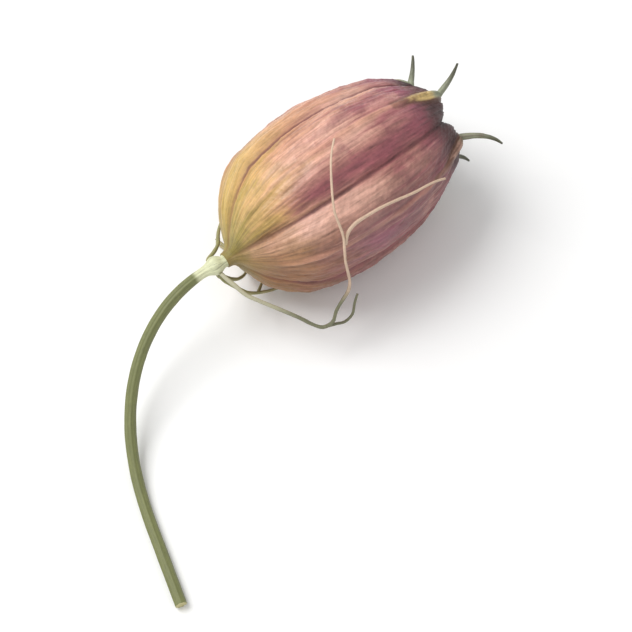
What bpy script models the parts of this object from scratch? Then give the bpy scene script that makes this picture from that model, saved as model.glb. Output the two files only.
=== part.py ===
"""A dried nigella seed pod, picked with a short length of its stem and laid on its side.

The pod is a blown-up capsule of five lobes, grown together, each ending in a curved horn.
Five bracts, cut into threads, stand round the place where the capsule meets the stem.
Metres, +Z up. The capsule's axis runs along +X, from the stem to the crown, and two of the
lobes lie on the surface z = 0. The origin is on that surface, under the middle of the whole.
"""

import functools
import math
import random

import bmesh
import bpy
from mathutils import Vector

# Capsule
CAPSULE_LENGTH = 0.0325  # from the stem to the ends of the lobes
CAPSULE_RADIUS = 0.0105  # at the fattest place, over a midrib
AXIS_HEIGHT = 0.922 * CAPSULE_RADIUS  # the two lowest lobes, at 0.947, are pressed flat
CROWN_SLANT = 0.0007  # how much sooner the capsule ends on its shortest side
SLANT_TURN = math.radians(-115)  # where that is
LOBES = 5
LOBE_TURN = math.tau / LOBES
LEANING_LOBE = 4  # it grew closer to the first one than a fifth of a turn
LOBE_LEAN = math.radians(8)
LOBE_ROUNDNESS = 0.75  # under 1 gives full lobes with sharp furrows between them
FACES_PER_LOBE = 12
FACES_ALONG = 38
OUTLINE_SAMPLES = 400
SHOULDER_SAMPLES = 120
SHARP_ANGLE = math.radians(50)  # edges bent more than this are shaded as sharp
MM = 0.001
BLOCK_SIZE = 0.12  # of the block that stands for the surface while the lobes are pressed flat

# Outlines of the capsule from the stem to the middle of the crown, along a lobe's midrib and
# along a furrow: (share of the length, share of the radius)
MIDRIB_OUTLINE = (
    (0.000, 0.09),
    (0.030, 0.13),
    (0.062, 0.33),
    (0.120, 0.61),
    (0.220, 0.86),
    (0.340, 0.975),
    (0.480, 1.02),
    (0.640, 1.00),
    (0.770, 0.91),
    (0.870, 0.785),
    (0.945, 0.66),
    (0.990, 0.55),
    (0.992, 0.43),
    (0.955, 0.31),
    (0.925, 0.15),
    (0.915, 0.00),
)
FURROW_OUTLINE = (
    (0.000, 0.09),
    (0.034, 0.12),
    (0.068, 0.29),
    (0.120, 0.50),
    (0.220, 0.735),
    (0.340, 0.85),
    (0.480, 0.885),
    (0.640, 0.87),
    (0.770, 0.785),
    (0.860, 0.675),
    (0.915, 0.57),
    (0.948, 0.46),
    (0.953, 0.34),
    (0.942, 0.24),
    (0.926, 0.12),
    (0.915, 0.00),
)

# Horns: the dried styles. Each begins as a keel on the shoulder of its lobe
KEEL_PLACES = (8.0, 8.8, 9.6, 10.4, 11.3)  # on the midrib outline
KEEL_SUNK = 0.00040  # how deep the keel's line lies in the lobe where it begins
KEEL_RADII = (0.00040, 0.00065, 0.00075, 0.00070, 0.00060)
HORN_TIP_RADIUS = 0.00032
HORN_STEPS = 7
# For each lobe: length past the keel, lean from the axis, further curl, sideways swing, degrees
HORNS = (
    (0.0046, 30, 22, 18),
    (0.0042, 40, 12, 8),
    (0.0056, 20, 40, -25),
    (0.0038, -5, 66, 0),
    (0.0062, 28, 68, 0),
)

# Stem
STEM_RADIUS = 0.00075
STEM_TOP_RADIUS = 0.00058
STEM_TOP_SHARE = 0.12  # share of its length on which it is thinner
STEM_LENGTH = 0.044
STEM_STEPS = 30
STEM_FIRST_TURN = math.radians(-11)  # sideways from the capsule's axis, next to the pod
STEM_TURN = math.radians(74)  # and at its cut end
STEM_BEND_SHARE = 0.85  # share of its length on which it bends
STEM_BEND_POWER = 1.3  # over 1 keeps it straighter next to the pod
STEM_DROP_SHARE = 0.72  # share of its length on which it comes down to the surface
RECEPTACLE_PLACES = (0.0, 0.0010, 0.0022)  # along the stem from its top
RECEPTACLE_RADII = (0.0010, 0.0013, 0.0007)
JOINT_GAP = 0.0003  # between neighbouring pieces

# Bracts
THREAD_RADIUS = 0.00036
TIP_RADIUS = 0.00030
THREAD_STEP = 0.0014
LINE_SAMPLES = 24  # between two given places of a line
WAVER = 0.16  # largest bend of a side thread at each step
BRACT_FOOT = (-1.2, 2.0)  # along the axis and out from it, mm: where a bract starts
CLEAR = 0.00040  # free space kept between a thread and another piece
BRACT_SEED = 21

# The middle lines of the bracts: (along the axis, out from it, turn from straight up), in
# millimetres and degrees; the branches that are placed by hand are written the same way
BRACT_LINES = {
    "bract_1": (
        (-0.9, 3.2, -99),
        (-0.5, 4.8, -102),
        (1.2, 7.4, -106),
        (3.1, 10.2, -108),
        (4.6, 12.5, -110),
        (6.0, 13.3, -110),
        (7.6, 12.2, -104),
        (9.6, 11.5, -93),
        (9.5, 11.6, -67),
        (10.4, 11.5, -52),
        (10.8, 11.5, -37),
        (12.8, 11.6, -19),
        (14.4, 11.7, -9),
        (16.2, 11.8, -1),
    ),
    "bract_2": (
        (-0.2, 2.6, 153),
        (1.8, 4.6, 150),
        (4.0, 7.4, 145),
        (7.5, 10.1, 137),
        (12.0, 11.6, 131),
        (18.0, 11.7, 130),
        (24.5, 11.2, 130),
    ),
    "bract_3": (
        (-0.2, 2.5, 118),
        (1.8, 4.3, 120),
        (4.0, 7.1, 121),
        (7.5, 10.0, 118),
        (13.0, 11.5, 114),
        (20.0, 11.6, 112),
        (26.0, 10.8, 112),
    ),
    "bract_4": (
        (-0.5, 2.9, 188),
        (1.4, 5.8, 181),
        (4.0, 8.8, 170),
        (7.5, 10.9, 154),
        (12.0, 13.0, 138),
        (16.5, 14.6, 129),
    ),
    "bract_5": (
        (-0.6, 3.0, -139),
        (1.0, 5.6, -149),
        (4.0, 8.4, -161),
        (7.0, 9.7, -161),
        (11.0, 11.0, -151),
    ),
}
BRANCHES = {
    "bract_1": (
        (
            (10.2, 11.5, -58),
            (11.4, 11.6, -51),
            (13.5, 11.6, -50),
            (16.7, 11.7, -51),
            (20.6, 11.5, -55),
            (23.3, 11.3, -57),
            (25.4, 11.0, -61),
        ),
        (
            (5.4, 13.1, -110),
            (7.0, 13.6, -112),
            (8.8, 14.0, -114),
            (10.0, 12.8, -110),
            (10.7, 12.1, -103),
        ),
    ),
    "bract_5": (
        ((2.4, 7.0, -155), (3.6, 8.2, -168), (5.0, 9.0, -176), (6.8, 9.4, -179)),
    ),
}
SIDE_THREADS = {"bract_2": 10, "bract_3": 8, "bract_4": 8}
SIDE_START = 0.34  # share of the middle line before the first of them
SIDE_SPREAD = math.radians(44)
SIDE_LENGTHS = (0.0080, 0.0050)  # of the first and the last
FORK_LENGTH = 0.0042
TRIES = 24
UNDERSIDE_TURN = math.radians(157)  # the side against which all but the first are pressed
UNDERSIDE_WIDTH = 0.0099  # how far to each side of it their threads reach
UNDERSIDE_SHIFT = 0.0022  # how much closer to the capsule's foot its width is taken

COLOURS = {
    "capsule": (0.36, 0.13, 0.13, 1.0),
    "stem": (0.20, 0.21, 0.08, 1.0),
    "bract": (0.27, 0.29, 0.12, 1.0),
}


def clear_scene():
    """Removes what the opened scene holds."""
    for old in list(bpy.data.objects):
        bpy.data.objects.remove(old)


def collection_named(name):
    """A new collection in the scene."""
    made = bpy.data.collections.new(name)
    bpy.context.scene.collection.children.link(made)
    return made


def material_named(name):
    """One plain Principled material for each kind of tissue."""
    made = bpy.data.materials.get(name)
    if made is None:
        made = bpy.data.materials.new(name)
        made.use_nodes = True
        shader = made.node_tree.nodes["Principled BSDF"]
        shader.inputs["Base Color"].default_value = COLOURS[name]
        shader.inputs["Roughness"].default_value = 0.6
        shader.inputs["Metallic"].default_value = 0.0
    return made


def smooth_point(points, at):
    """The point at a place along a smooth line through points; place 0 is the first of them."""
    last = len(points) - 1
    i = min(int(at), last - 1)
    share = at - i
    before, a, b, after = (
        Vector(points[max(0, min(last, k))]) for k in (i - 1, i, i + 1, i + 2)
    )
    return 0.5 * (
        2 * a
        + (b - before) * share
        + (2 * before - 5 * a + 4 * b - after) * share**2
        + (3 * a - before - 3 * b + after) * share**3
    )


def around(angle):
    """The unit vector out from the axis; angle 0 is straight up and a quarter turn is +Y."""
    return Vector((0, math.sin(angle), math.cos(angle)))


def from_axis(along, out, angle):
    """A point given by its place along the axis, its distance from it and its turn round it."""
    return Vector((along, 0, AXIS_HEIGHT)) + around(angle) * out


def outline_point(outline, at):
    """The place along the axis and the distance from it, at a place on an outline."""
    share = smooth_point(outline, at)
    return share.x * CAPSULE_LENGTH, max(0.0, share.y) * CAPSULE_RADIUS


def lobe_share(angle):
    """1 on a midrib and 0 in a furrow; the angle is that of even lobes."""
    return abs(math.cos(angle * LOBES / 2)) ** LOBE_ROUNDNESS


def grown_turn(angle):
    """The turn round the axis of what would be at an angle if the lobes were even."""
    off = math.remainder(angle - LEANING_LOBE * LOBE_TURN, math.tau)
    near = max(0.0, 1 - abs(off) / LOBE_TURN)
    return angle + LOBE_LEAN * math.sin(near * math.pi / 2) ** 2


def slanted(along, angle):
    """The place along the axis after the slant of the crown, which is felt near the crown only."""
    near = (1 + math.cos(angle - SLANT_TURN)) / 2
    return along - CROWN_SLANT * near * (along / CAPSULE_LENGTH) ** 3


def skin_point(along, out, angle):
    """A point of the grown capsule, from its place in an even one."""
    turn = grown_turn(angle)
    return from_axis(slanted(along, turn), out, turn)


def capsule_point(at, angle):
    """The skin's point at a place along the outlines and a turn round the axis."""
    rib_along, rib_out = outline_point(MIDRIB_OUTLINE, at)
    furrow_along, furrow_out = outline_point(FURROW_OUTLINE, at)
    share = lobe_share(angle)
    along = furrow_along + (rib_along - furrow_along) * share
    out = furrow_out + (rib_out - furrow_out) * share
    return skin_point(along, out, angle)


def even_places(outline, count):
    """Places on an outline that are the same distance apart along it."""
    fine = [k * (len(outline) - 1) / OUTLINE_SAMPLES for k in range(OUTLINE_SAMPLES + 1)]
    points = [Vector(outline_point(outline, at)) for at in fine]
    reached = [0.0]
    for a, b in zip(points, points[1:]):
        reached.append(reached[-1] + (b - a).length)
    places = []
    k = 0
    for i in range(count + 1):
        want = reached[-1] * i / count
        while k < OUTLINE_SAMPLES - 1 and reached[k + 1] < want:
            k += 1
        share = (want - reached[k]) / (reached[k + 1] - reached[k])
        places.append(fine[k] + (fine[k + 1] - fine[k]) * share)
    return places


def build_capsule_body():
    """The blown-up shell of five lobes: a ball whose rings are moved onto the outlines.

    The pole and the first ring make the flat foot, where the stem bears the capsule.
    """
    mesh = bmesh.new()
    bmesh.ops.create_uvsphere(
        mesh, u_segments=LOBES * FACES_PER_LOBE, v_segments=FACES_ALONG, radius=1
    )
    places = [0.0] + even_places(MIDRIB_OUTLINE, FACES_ALONG - 1)
    for vert in mesh.verts:
        ring = round(math.acos(max(-1, min(1, -vert.co.z))) / math.pi * FACES_ALONG)
        angle = math.atan2(vert.co.y, vert.co.x) if ring < FACES_ALONG else 0
        vert.co = capsule_point(places[ring], angle) if ring else from_axis(0, 0, 0)
    bmesh.ops.recalc_face_normals(mesh, faces=mesh.faces)
    data = bpy.data.meshes.new("capsule")
    mesh.to_mesh(data)
    mesh.free()
    return bpy.data.objects.new("capsule", data)


def tube(name, points, radii, sides_level):
    """A closed tube through points, made a mesh from a curve with a bevel."""
    curve = bpy.data.curves.new(name, "CURVE")
    curve.dimensions = "3D"
    curve.bevel_depth = 1.0
    curve.bevel_resolution = sides_level
    curve.use_fill_caps = True
    spline = curve.splines.new("POLY")
    spline.points.add(len(points) - 1)
    for target, point, radius in zip(spline.points, points, radii):
        target.co = (*point, 1)
        target.radius = radius
    guide = bpy.data.objects.new(name + "_line", curve)
    bpy.context.scene.collection.objects.link(guide)
    bpy.context.view_layer.update()
    evaluated = guide.evaluated_get(bpy.context.evaluated_depsgraph_get())
    data = bpy.data.meshes.new_from_object(evaluated)
    bpy.data.objects.remove(guide)
    mesh = bmesh.new()
    mesh.from_mesh(data)
    bmesh.ops.remove_doubles(mesh, verts=mesh.verts, dist=1e-6)
    bmesh.ops.recalc_face_normals(mesh, faces=mesh.faces)
    mesh.to_mesh(data)
    mesh.free()
    data.name = name
    return bpy.data.objects.new(name, data)


def apply_boolean(target, operation, pieces, solver="EXACT"):
    """Joins pieces to the target, or cuts them from it, and removes them."""
    helpers = collection_named(target.name + "_helpers")
    for piece in pieces:
        helpers.objects.link(piece)
    modifier = target.modifiers.new(operation.lower(), "BOOLEAN")
    modifier.operation = operation
    modifier.operand_type = "COLLECTION"
    modifier.collection = helpers
    modifier.solver = solver
    bpy.context.view_layer.update()
    evaluated = target.evaluated_get(bpy.context.evaluated_depsgraph_get())
    data = bpy.data.meshes.new_from_object(evaluated)
    target.modifiers.clear()
    target.data = data
    for piece in pieces:
        bpy.data.objects.remove(piece)
    bpy.data.collections.remove(helpers)


def horn_points(lobe):
    """The line of one horn: along the shoulder of its lobe, then free, outwards."""
    length, lean, curl, swing = HORNS[lobe]
    angle = LOBE_TURN * lobe
    turn = grown_turn(angle)
    points = []
    for k, at in enumerate(KEEL_PLACES):
        along, out = outline_point(MIDRIB_OUTLINE, at)
        sunk = KEEL_SUNK * (1 - k / (len(KEEL_PLACES) - 1))
        points.append(skin_point(along, out - sunk, angle))
    tangent = around(turn + math.pi / 2)
    for k in range(1, HORN_STEPS + 1):
        share = k / HORN_STEPS
        tilt = math.radians(lean + curl * share)
        aside = math.radians(swing) * share
        outwards = around(turn) * math.cos(aside) + tangent * math.sin(aside)
        heading = Vector((math.cos(tilt), 0, 0)) + outwards * math.sin(tilt)
        points.append(points[-1] + heading * length / HORN_STEPS)
    return points


def horn_radii():
    """The keel's radii, then a taper to the tip."""
    root = KEEL_RADII[-1]
    taper = [
        root + (HORN_TIP_RADIUS - root) * (k / HORN_STEPS) ** 0.8
        for k in range(1, HORN_STEPS + 1)
    ]
    return list(KEEL_RADII) + taper


def block_below_surface():
    """A block whose top is the surface that the pod lies on."""
    mesh = bmesh.new()
    bmesh.ops.create_cube(mesh, size=BLOCK_SIZE)
    bmesh.ops.translate(mesh, verts=mesh.verts, vec=(0, 0, -BLOCK_SIZE / 2))
    data = bpy.data.meshes.new("below_surface")
    mesh.to_mesh(data)
    mesh.free()
    return bpy.data.objects.new("below_surface", data)


def build_capsule(parts):
    """The capsule with its horns, pressed flat where it lies."""
    capsule = build_capsule_body()
    parts.objects.link(capsule)
    horns = [
        tube(f"horn_{lobe + 1}", horn_points(lobe), horn_radii(), 2) for lobe in range(LOBES)
    ]
    apply_boolean(capsule, "UNION", horns)
    apply_boolean(capsule, "DIFFERENCE", [block_below_surface()])
    capsule.data.materials.append(material_named("capsule"))
    capsule.data.shade_smooth()
    capsule.data.set_sharp_from_angle(angle=SHARP_ANGLE)


def stem_points():
    """The stem's line: out along the capsule's axis, down to the surface and round to -Y."""
    start = from_axis(-JOINT_GAP, 0, 0)
    points = [start]
    step = STEM_LENGTH / STEM_STEPS
    for k in range(1, STEM_STEPS + 1):
        bent = min(1.0, k / STEM_STEPS / STEM_BEND_SHARE)
        ease = math.sin(bent * math.pi / 2) ** STEM_BEND_POWER
        turn = STEM_FIRST_TURN + (STEM_TURN - STEM_FIRST_TURN) * ease
        points.append(points[-1] + Vector((-math.cos(turn), -math.sin(turn), 0)) * step)
    for k, point in enumerate(points):
        fall = min(1.0, k / STEM_STEPS / STEM_DROP_SHARE)
        ease = fall * fall * (3 - 2 * fall)
        point.z = start.z + (STEM_RADIUS - start.z) * ease
    return points


def build_stem(parts):
    """The stem, a little thinner and then swollen where it bears the bracts and the capsule."""
    points = stem_points()
    radii = []
    for k in range(len(points)):
        share = k / STEM_STEPS
        full = min(1, share / STEM_TOP_SHARE)
        radius = STEM_TOP_RADIUS + (STEM_RADIUS - STEM_TOP_RADIUS) * full
        radii.append(radius)
    stem = tube("stem", points, radii, 2)
    head = [from_axis(-JOINT_GAP - place, 0, 0) for place in RECEPTACLE_PLACES]
    knob = tube("receptacle", head, RECEPTACLE_RADII, 3)
    parts.objects.link(stem)
    apply_boolean(stem, "UNION", [knob])
    stem.data.materials.append(material_named("stem"))
    stem.data.shade_smooth()
    stem.data.set_sharp_from_angle(angle=SHARP_ANGLE)


@functools.cache
def shoulder_line():
    """Points of the midrib's outline from the stem to the end of the lobe."""
    last = KEEL_PLACES[-1]
    return [
        outline_point(MIDRIB_OUTLINE, last * k / SHOULDER_SAMPLES)
        for k in range(SHOULDER_SAMPLES + 1)
    ]


def least_out(along, gap):
    """The least distance from the axis, at a place along it, with a gap to the capsule."""
    least = 0.0
    for rib_along, rib_out in shoulder_line():
        shift = abs(rib_along - along)
        if shift < gap:
            least = max(least, rib_out + math.sqrt(gap**2 - shift**2))
    return least


def kept_clear(point):
    """The point moved out of the capsule and up from the surface, where it is too close."""
    out = Vector((0, point.y, point.z - AXIS_HEIGHT))
    least = least_out(point.x, THREAD_RADIUS + CLEAR)
    if out.length < least:
        out *= least / max(out.length, 1e-6)
    lowest = THREAD_RADIUS - AXIS_HEIGHT
    if out.z < lowest:
        sideways = math.sqrt(max(0.0, least**2 - lowest**2))
        out = Vector((0, math.copysign(max(abs(out.y), sideways), out.y), lowest))
    return Vector((point.x, out.y, AXIS_HEIGHT + out.z))


def side_thread(start, heading, length, draw):
    """The line of one side thread: it leaves at a slant and wavers, clear of the capsule."""
    steps = max(3, round(length / THREAD_STEP))
    points = [start]
    bend = Vector([draw.uniform(-WAVER, WAVER) for _ in range(3)])
    for _ in range(steps):
        heading = (heading + bend).normalized()
        points.append(kept_clear(points[-1] + heading * length / steps))
    return points


def is_free(points, others):
    """True if the line keeps its distance from every line that other pieces already hold."""
    for point in points[1:]:
        for other, radius in others:
            if (point - other).length < THREAD_RADIUS + radius + CLEAR:
                return False
    return True


def is_tucked(points):
    """True if the line stays behind the capsule, seen from the side of the first bract."""
    sideways = around(UNDERSIDE_TURN + math.pi / 2)
    for point in points:
        reach = min(UNDERSIDE_WIDTH, least_out(point.x - UNDERSIDE_SHIFT, CLEAR))
        if abs((point - from_axis(0, 0, 0)).dot(sideways)) > reach:
            return False
    return True


def line_through(places):
    """Even steps on a smooth line through places written as (along, out, turn)."""
    hand = [
        from_axis(along * MM, out * MM, math.radians(turn)) for along, out, turn in places
    ]
    count = LINE_SAMPLES * (len(hand) - 1)
    fine = [smooth_point(hand, k / LINE_SAMPLES) for k in range(count + 1)]
    points = [fine[0]]
    since = 0.0
    for a, b in zip(fine, fine[1:]):
        since += (b - a).length
        if since >= THREAD_STEP:
            points.append(kept_clear(b))
            since = 0.0
    return points


def middle_line(name):
    """The middle line of a bract, from its foot on the stem's head."""
    along, out = BRACT_FOOT
    turn = BRACT_LINES[name][0][2]
    return line_through(((along, out, turn),) + BRACT_LINES[name])


def bract_threads(middle, count, draw, others):
    """Side threads to the left and right of a bract's middle line, and their forks."""
    lines = []
    first = int(len(middle) * SIDE_START)
    for k in range(count):
        share = k / (count - 1)
        place = first + int((len(middle) - 2 - first) * share)
        along = (middle[place + 1] - middle[place - 1]).normalized()
        out = middle[place] - from_axis(middle[place].x, 0, 0)
        side = along.cross(out).normalized() * (1 if k % 2 else -1)
        length = SIDE_LENGTHS[0] + (SIDE_LENGTHS[1] - SIDE_LENGTHS[0]) * share
        for _ in range(TRIES):
            slant = SIDE_SPREAD * draw.uniform(0.75, 1.3)
            lift = out.normalized() * draw.uniform(-0.15, 0.35)
            heading = (along * math.cos(slant) + side * math.sin(slant) + lift).normalized()
            line = side_thread(middle[place], heading, length * draw.uniform(0.8, 1.2), draw)
            if not (is_free(line, others) and is_tucked(line)):
                continue
            lines.append(line)
            fork_at = len(line) // 2
            onward = (line[fork_at] - line[fork_at - 1]).normalized()
            swing = side.cross(onward) * draw.choice((-1, 1)) - side * 0.6
            fork = side_thread(line[fork_at], (onward + swing).normalized(), FORK_LENGTH, draw)
            if is_free(fork, others) and is_tucked(fork):
                lines.append(fork)
            break
    return lines


def thread_radii(count):
    """A slow taper from the root of a thread to its tip."""
    return [
        THREAD_RADIUS + (TIP_RADIUS - THREAD_RADIUS) * k / (count - 1) for k in range(count)
    ]


def build_bracts(parts):
    """Five bracts, each one solid of fused threads, kept clear of all the others."""
    draw = random.Random(BRACT_SEED)
    taken = [(point, STEM_RADIUS) for point in stem_points()]
    for lobe in range(LOBES):
        taken += [(point, max(KEEL_RADII)) for point in horn_points(lobe)]
    held = {name: [middle_line(name)] for name in BRACT_LINES}
    for name, branches in BRANCHES.items():
        held[name] += [line_through(places) for places in branches]
    for name, own in held.items():
        others = [
            (point, THREAD_RADIUS)
            for other, lines in held.items()
            if other != name
            for line in lines
            for point in line
        ]
        if name in SIDE_THREADS:
            own += bract_threads(own[0], SIDE_THREADS[name], draw, taken + others)
        solids = [
            tube(f"{name}_{k}", line, thread_radii(len(line)), 1) for k, line in enumerate(own)
        ]
        bract = solids[0]
        bract.name = name
        bract.data.name = name
        parts.objects.link(bract)
        apply_boolean(bract, "UNION", solids[1:], "MANIFOLD")
        bract.data.materials.append(material_named("bract"))
        bract.data.shade_smooth()


def centre_on_origin(parts):
    """Moves all pieces so that the origin is under the middle of the whole."""
    corners = [vert.co for piece in parts.objects for vert in piece.data.vertices]
    middle = [(min(c[i] for c in corners) + max(c[i] for c in corners)) / 2 for i in range(2)]
    for piece in parts.objects:
        for vert in piece.data.vertices:
            vert.co.x -= middle[0]
            vert.co.y -= middle[1]


def main():
    clear_scene()
    parts = collection_named("nigella_seed_pod")
    build_capsule(parts)
    build_stem(parts)
    build_bracts(parts)
    centre_on_origin(parts)


main()
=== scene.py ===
"""Looks of a dried nigella seed pod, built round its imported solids.

The capsule, the stem and the five thread-cut bracts are made again as fine meshes that keep the
places of the solids, and each of them gets a procedural finish. Metres, +Z up. The capsule's
axis runs along +X, from its foot on the stem to its crown.
"""

import functools
import json
import logging
import math
import random
from collections.abc import Iterable, Sequence
from dataclasses import dataclass, field
from enum import Enum
from typing import ClassVar

import bmesh
import bpy
import numpy as np
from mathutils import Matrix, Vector


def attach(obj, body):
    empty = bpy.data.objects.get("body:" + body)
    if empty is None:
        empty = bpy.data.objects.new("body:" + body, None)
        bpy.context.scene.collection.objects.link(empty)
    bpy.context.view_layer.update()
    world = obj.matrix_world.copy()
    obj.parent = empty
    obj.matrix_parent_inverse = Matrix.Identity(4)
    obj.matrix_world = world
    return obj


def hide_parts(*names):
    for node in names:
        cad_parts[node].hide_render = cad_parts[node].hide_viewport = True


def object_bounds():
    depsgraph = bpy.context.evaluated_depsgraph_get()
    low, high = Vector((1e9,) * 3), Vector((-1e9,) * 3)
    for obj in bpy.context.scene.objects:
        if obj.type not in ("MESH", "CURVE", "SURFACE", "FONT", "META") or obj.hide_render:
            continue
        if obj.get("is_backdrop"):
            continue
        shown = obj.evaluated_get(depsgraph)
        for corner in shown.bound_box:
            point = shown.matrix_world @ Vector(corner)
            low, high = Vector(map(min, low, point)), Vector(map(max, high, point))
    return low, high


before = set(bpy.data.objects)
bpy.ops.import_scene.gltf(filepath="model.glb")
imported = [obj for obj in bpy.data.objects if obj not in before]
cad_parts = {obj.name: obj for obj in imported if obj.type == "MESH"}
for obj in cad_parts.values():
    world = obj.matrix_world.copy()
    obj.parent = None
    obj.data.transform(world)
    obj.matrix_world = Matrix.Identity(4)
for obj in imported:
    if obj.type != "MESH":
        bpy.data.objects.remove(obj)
CAD_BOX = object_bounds()

LOG = logging.getLogger("nigella_pod")
MM = 0.001
BODY = "root"
MERGE_DISTANCE = 1e-6
FOOT_SLACK = 0.01 * MM
VISIBLE_BRACT = "bract_1"

Colour = tuple[float, float, float]
Place = tuple[float, float, float]
Line = list[Vector]
Socket = bpy.types.NodeSocket
Number = float | Socket
Span = tuple[float, float]
Mix = tuple[tuple[str, float], ...]
Ramp = tuple[str, float, float]

# Capsule, as in the solids
LOBES = 5
LOBE_TURN = math.tau / LOBES
LEANING_LOBE = 4
LOBE_LEAN = math.radians(8)
LOBE_ROUNDNESS = 0.75
CAPSULE_LENGTH = 32.5 * MM
CAPSULE_RADIUS = 10.5 * MM
AXIS_HEIGHT = 0.922 * CAPSULE_RADIUS
CROWN_SLANT = 0.7 * MM
SLANT_TURN = math.radians(-115)
MIDRIB_OUTLINE = (
    (0.000, 0.09), (0.030, 0.13), (0.062, 0.33), (0.120, 0.61), (0.220, 0.86), (0.340, 0.975),
    (0.480, 1.02), (0.640, 1.00), (0.770, 0.91), (0.870, 0.785), (0.945, 0.66), (0.990, 0.55),
    (0.992, 0.43), (0.955, 0.31), (0.925, 0.15), (0.915, 0.00),
)
FURROW_OUTLINE = (
    (0.000, 0.09), (0.034, 0.12), (0.068, 0.29), (0.120, 0.50), (0.220, 0.735), (0.340, 0.85),
    (0.480, 0.885), (0.640, 0.87), (0.770, 0.785), (0.860, 0.675), (0.915, 0.57), (0.948, 0.46),
    (0.953, 0.34), (0.942, 0.24), (0.926, 0.12), (0.915, 0.00),
)
KEEL_PLACES = (8.0, 8.8, 9.6, 10.4, 11.3)
KEEL_SUNK = 0.40 * MM
HORN_STEPS = 7
# For each lobe: length past the keel, lean from the axis, further curl, sideways swing, degrees
HORNS = (
    (4.6 * MM, 30, 22, 18),
    (4.2 * MM, 40, 12, 8),
    (5.6 * MM, 20, 40, -25),
    (3.8 * MM, -5, 66, 0),
    (6.2 * MM, 28, 68, 0),
)

# Stem, as in the solids
STEM_RADIUS = 0.75 * MM
STEM_TOP_RADIUS = 0.58 * MM
STEM_TOP_SHARE = 0.12
STEM_LENGTH = 44 * MM
STEM_STEPS = 30
STEM_FIRST_TURN = math.radians(-11)
STEM_TURN = math.radians(74)
STEM_BEND_SHARE = 0.85
STEM_BEND_POWER = 1.3
STEM_DROP_SHARE = 0.72
JOINT_GAP = 0.3 * MM

# Bracts, as in the solids
THREAD_RADIUS = 0.36 * MM
KEEL_RADIUS = 0.75 * MM
THREAD_STEP = 1.4 * MM
LINE_SAMPLES = 24
SHOULDER_SAMPLES = 120
WAVER = 0.16
BRACT_FOOT = (-1.2, 2.0)
CLEAR = 0.40 * MM
BRACT_SEED = 21
BRACT_LINES: dict[str, tuple[Place, ...]] = {
    "bract_1": (
        (-0.9, 3.2, -99), (-0.5, 4.8, -102), (1.2, 7.4, -106), (3.1, 10.2, -108), (4.6, 12.5, -110),
        (6.0, 13.3, -110), (7.6, 12.2, -104), (9.6, 11.5, -93), (9.5, 11.6, -67), (10.4, 11.5, -52),
        (10.8, 11.5, -37), (12.8, 11.6, -19), (14.4, 11.7, -9), (16.2, 11.8, -1),
    ),
    "bract_2": (
        (-0.2, 2.6, 153), (1.8, 4.6, 150), (4.0, 7.4, 145), (7.5, 10.1, 137), (12.0, 11.6, 131),
        (18.0, 11.7, 130), (24.5, 11.2, 130),
    ),
    "bract_3": (
        (-0.2, 2.5, 118), (1.8, 4.3, 120), (4.0, 7.1, 121), (7.5, 10.0, 118), (13.0, 11.5, 114),
        (20.0, 11.6, 112), (26.0, 10.8, 112),
    ),
    "bract_4": (
        (-0.5, 2.9, 188), (1.4, 5.8, 181), (4.0, 8.8, 170), (7.5, 10.9, 154), (12.0, 13.0, 138),
        (16.5, 14.6, 129),
    ),
    "bract_5": (
        (-0.6, 3.0, -139), (1.0, 5.6, -149), (4.0, 8.4, -161), (7.0, 9.7, -161), (11.0, 11.0, -151),
    ),
}
BRANCHES: dict[str, tuple[tuple[Place, ...], ...]] = {
    "bract_1": (
        (
            (10.2, 11.5, -58), (11.4, 11.6, -51), (13.5, 11.6, -50), (16.7, 11.7, -51),
            (20.6, 11.5, -55), (23.3, 11.3, -57), (25.4, 11.0, -61),
        ),
        (
            (5.4, 13.1, -110), (7.0, 13.6, -112), (8.8, 14.0, -114), (10.0, 12.8, -110),
            (10.7, 12.1, -103),
        ),
    ),
    "bract_5": (
        ((2.4, 7.0, -155), (3.6, 8.2, -168), (5.0, 9.0, -176), (6.8, 9.4, -179)),
    ),
}
SIDE_THREADS = {"bract_2": 10, "bract_3": 8, "bract_4": 8}
SIDE_START = 0.34
SIDE_SPREAD = math.radians(44)
SIDE_LENGTHS = (8.0 * MM, 5.0 * MM)
SIDE_SLANTS = (0.75, 1.3)
SIDE_LIFTS = (-0.15, 0.35)
SIDE_REACHES = (0.8, 1.2)
FORK_RETURN = 0.6
FORK_LENGTH = 4.2 * MM
TRIES = 24
UNDERSIDE_TURN = math.radians(157)
UNDERSIDE_WIDTH = 9.9 * MM
UNDERSIDE_SHIFT = 2.2 * MM


def linear(red: int, green: int, blue: int) -> Colour:
    """A display colour of 0 to 255 as the linear values that shaders take."""
    shares = (value / 255 for value in (red, green, blue))
    return tuple(s / 12.92 if s < 0.04045 else ((s + 0.055) / 1.055) ** 2.4 for s in shares)


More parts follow.
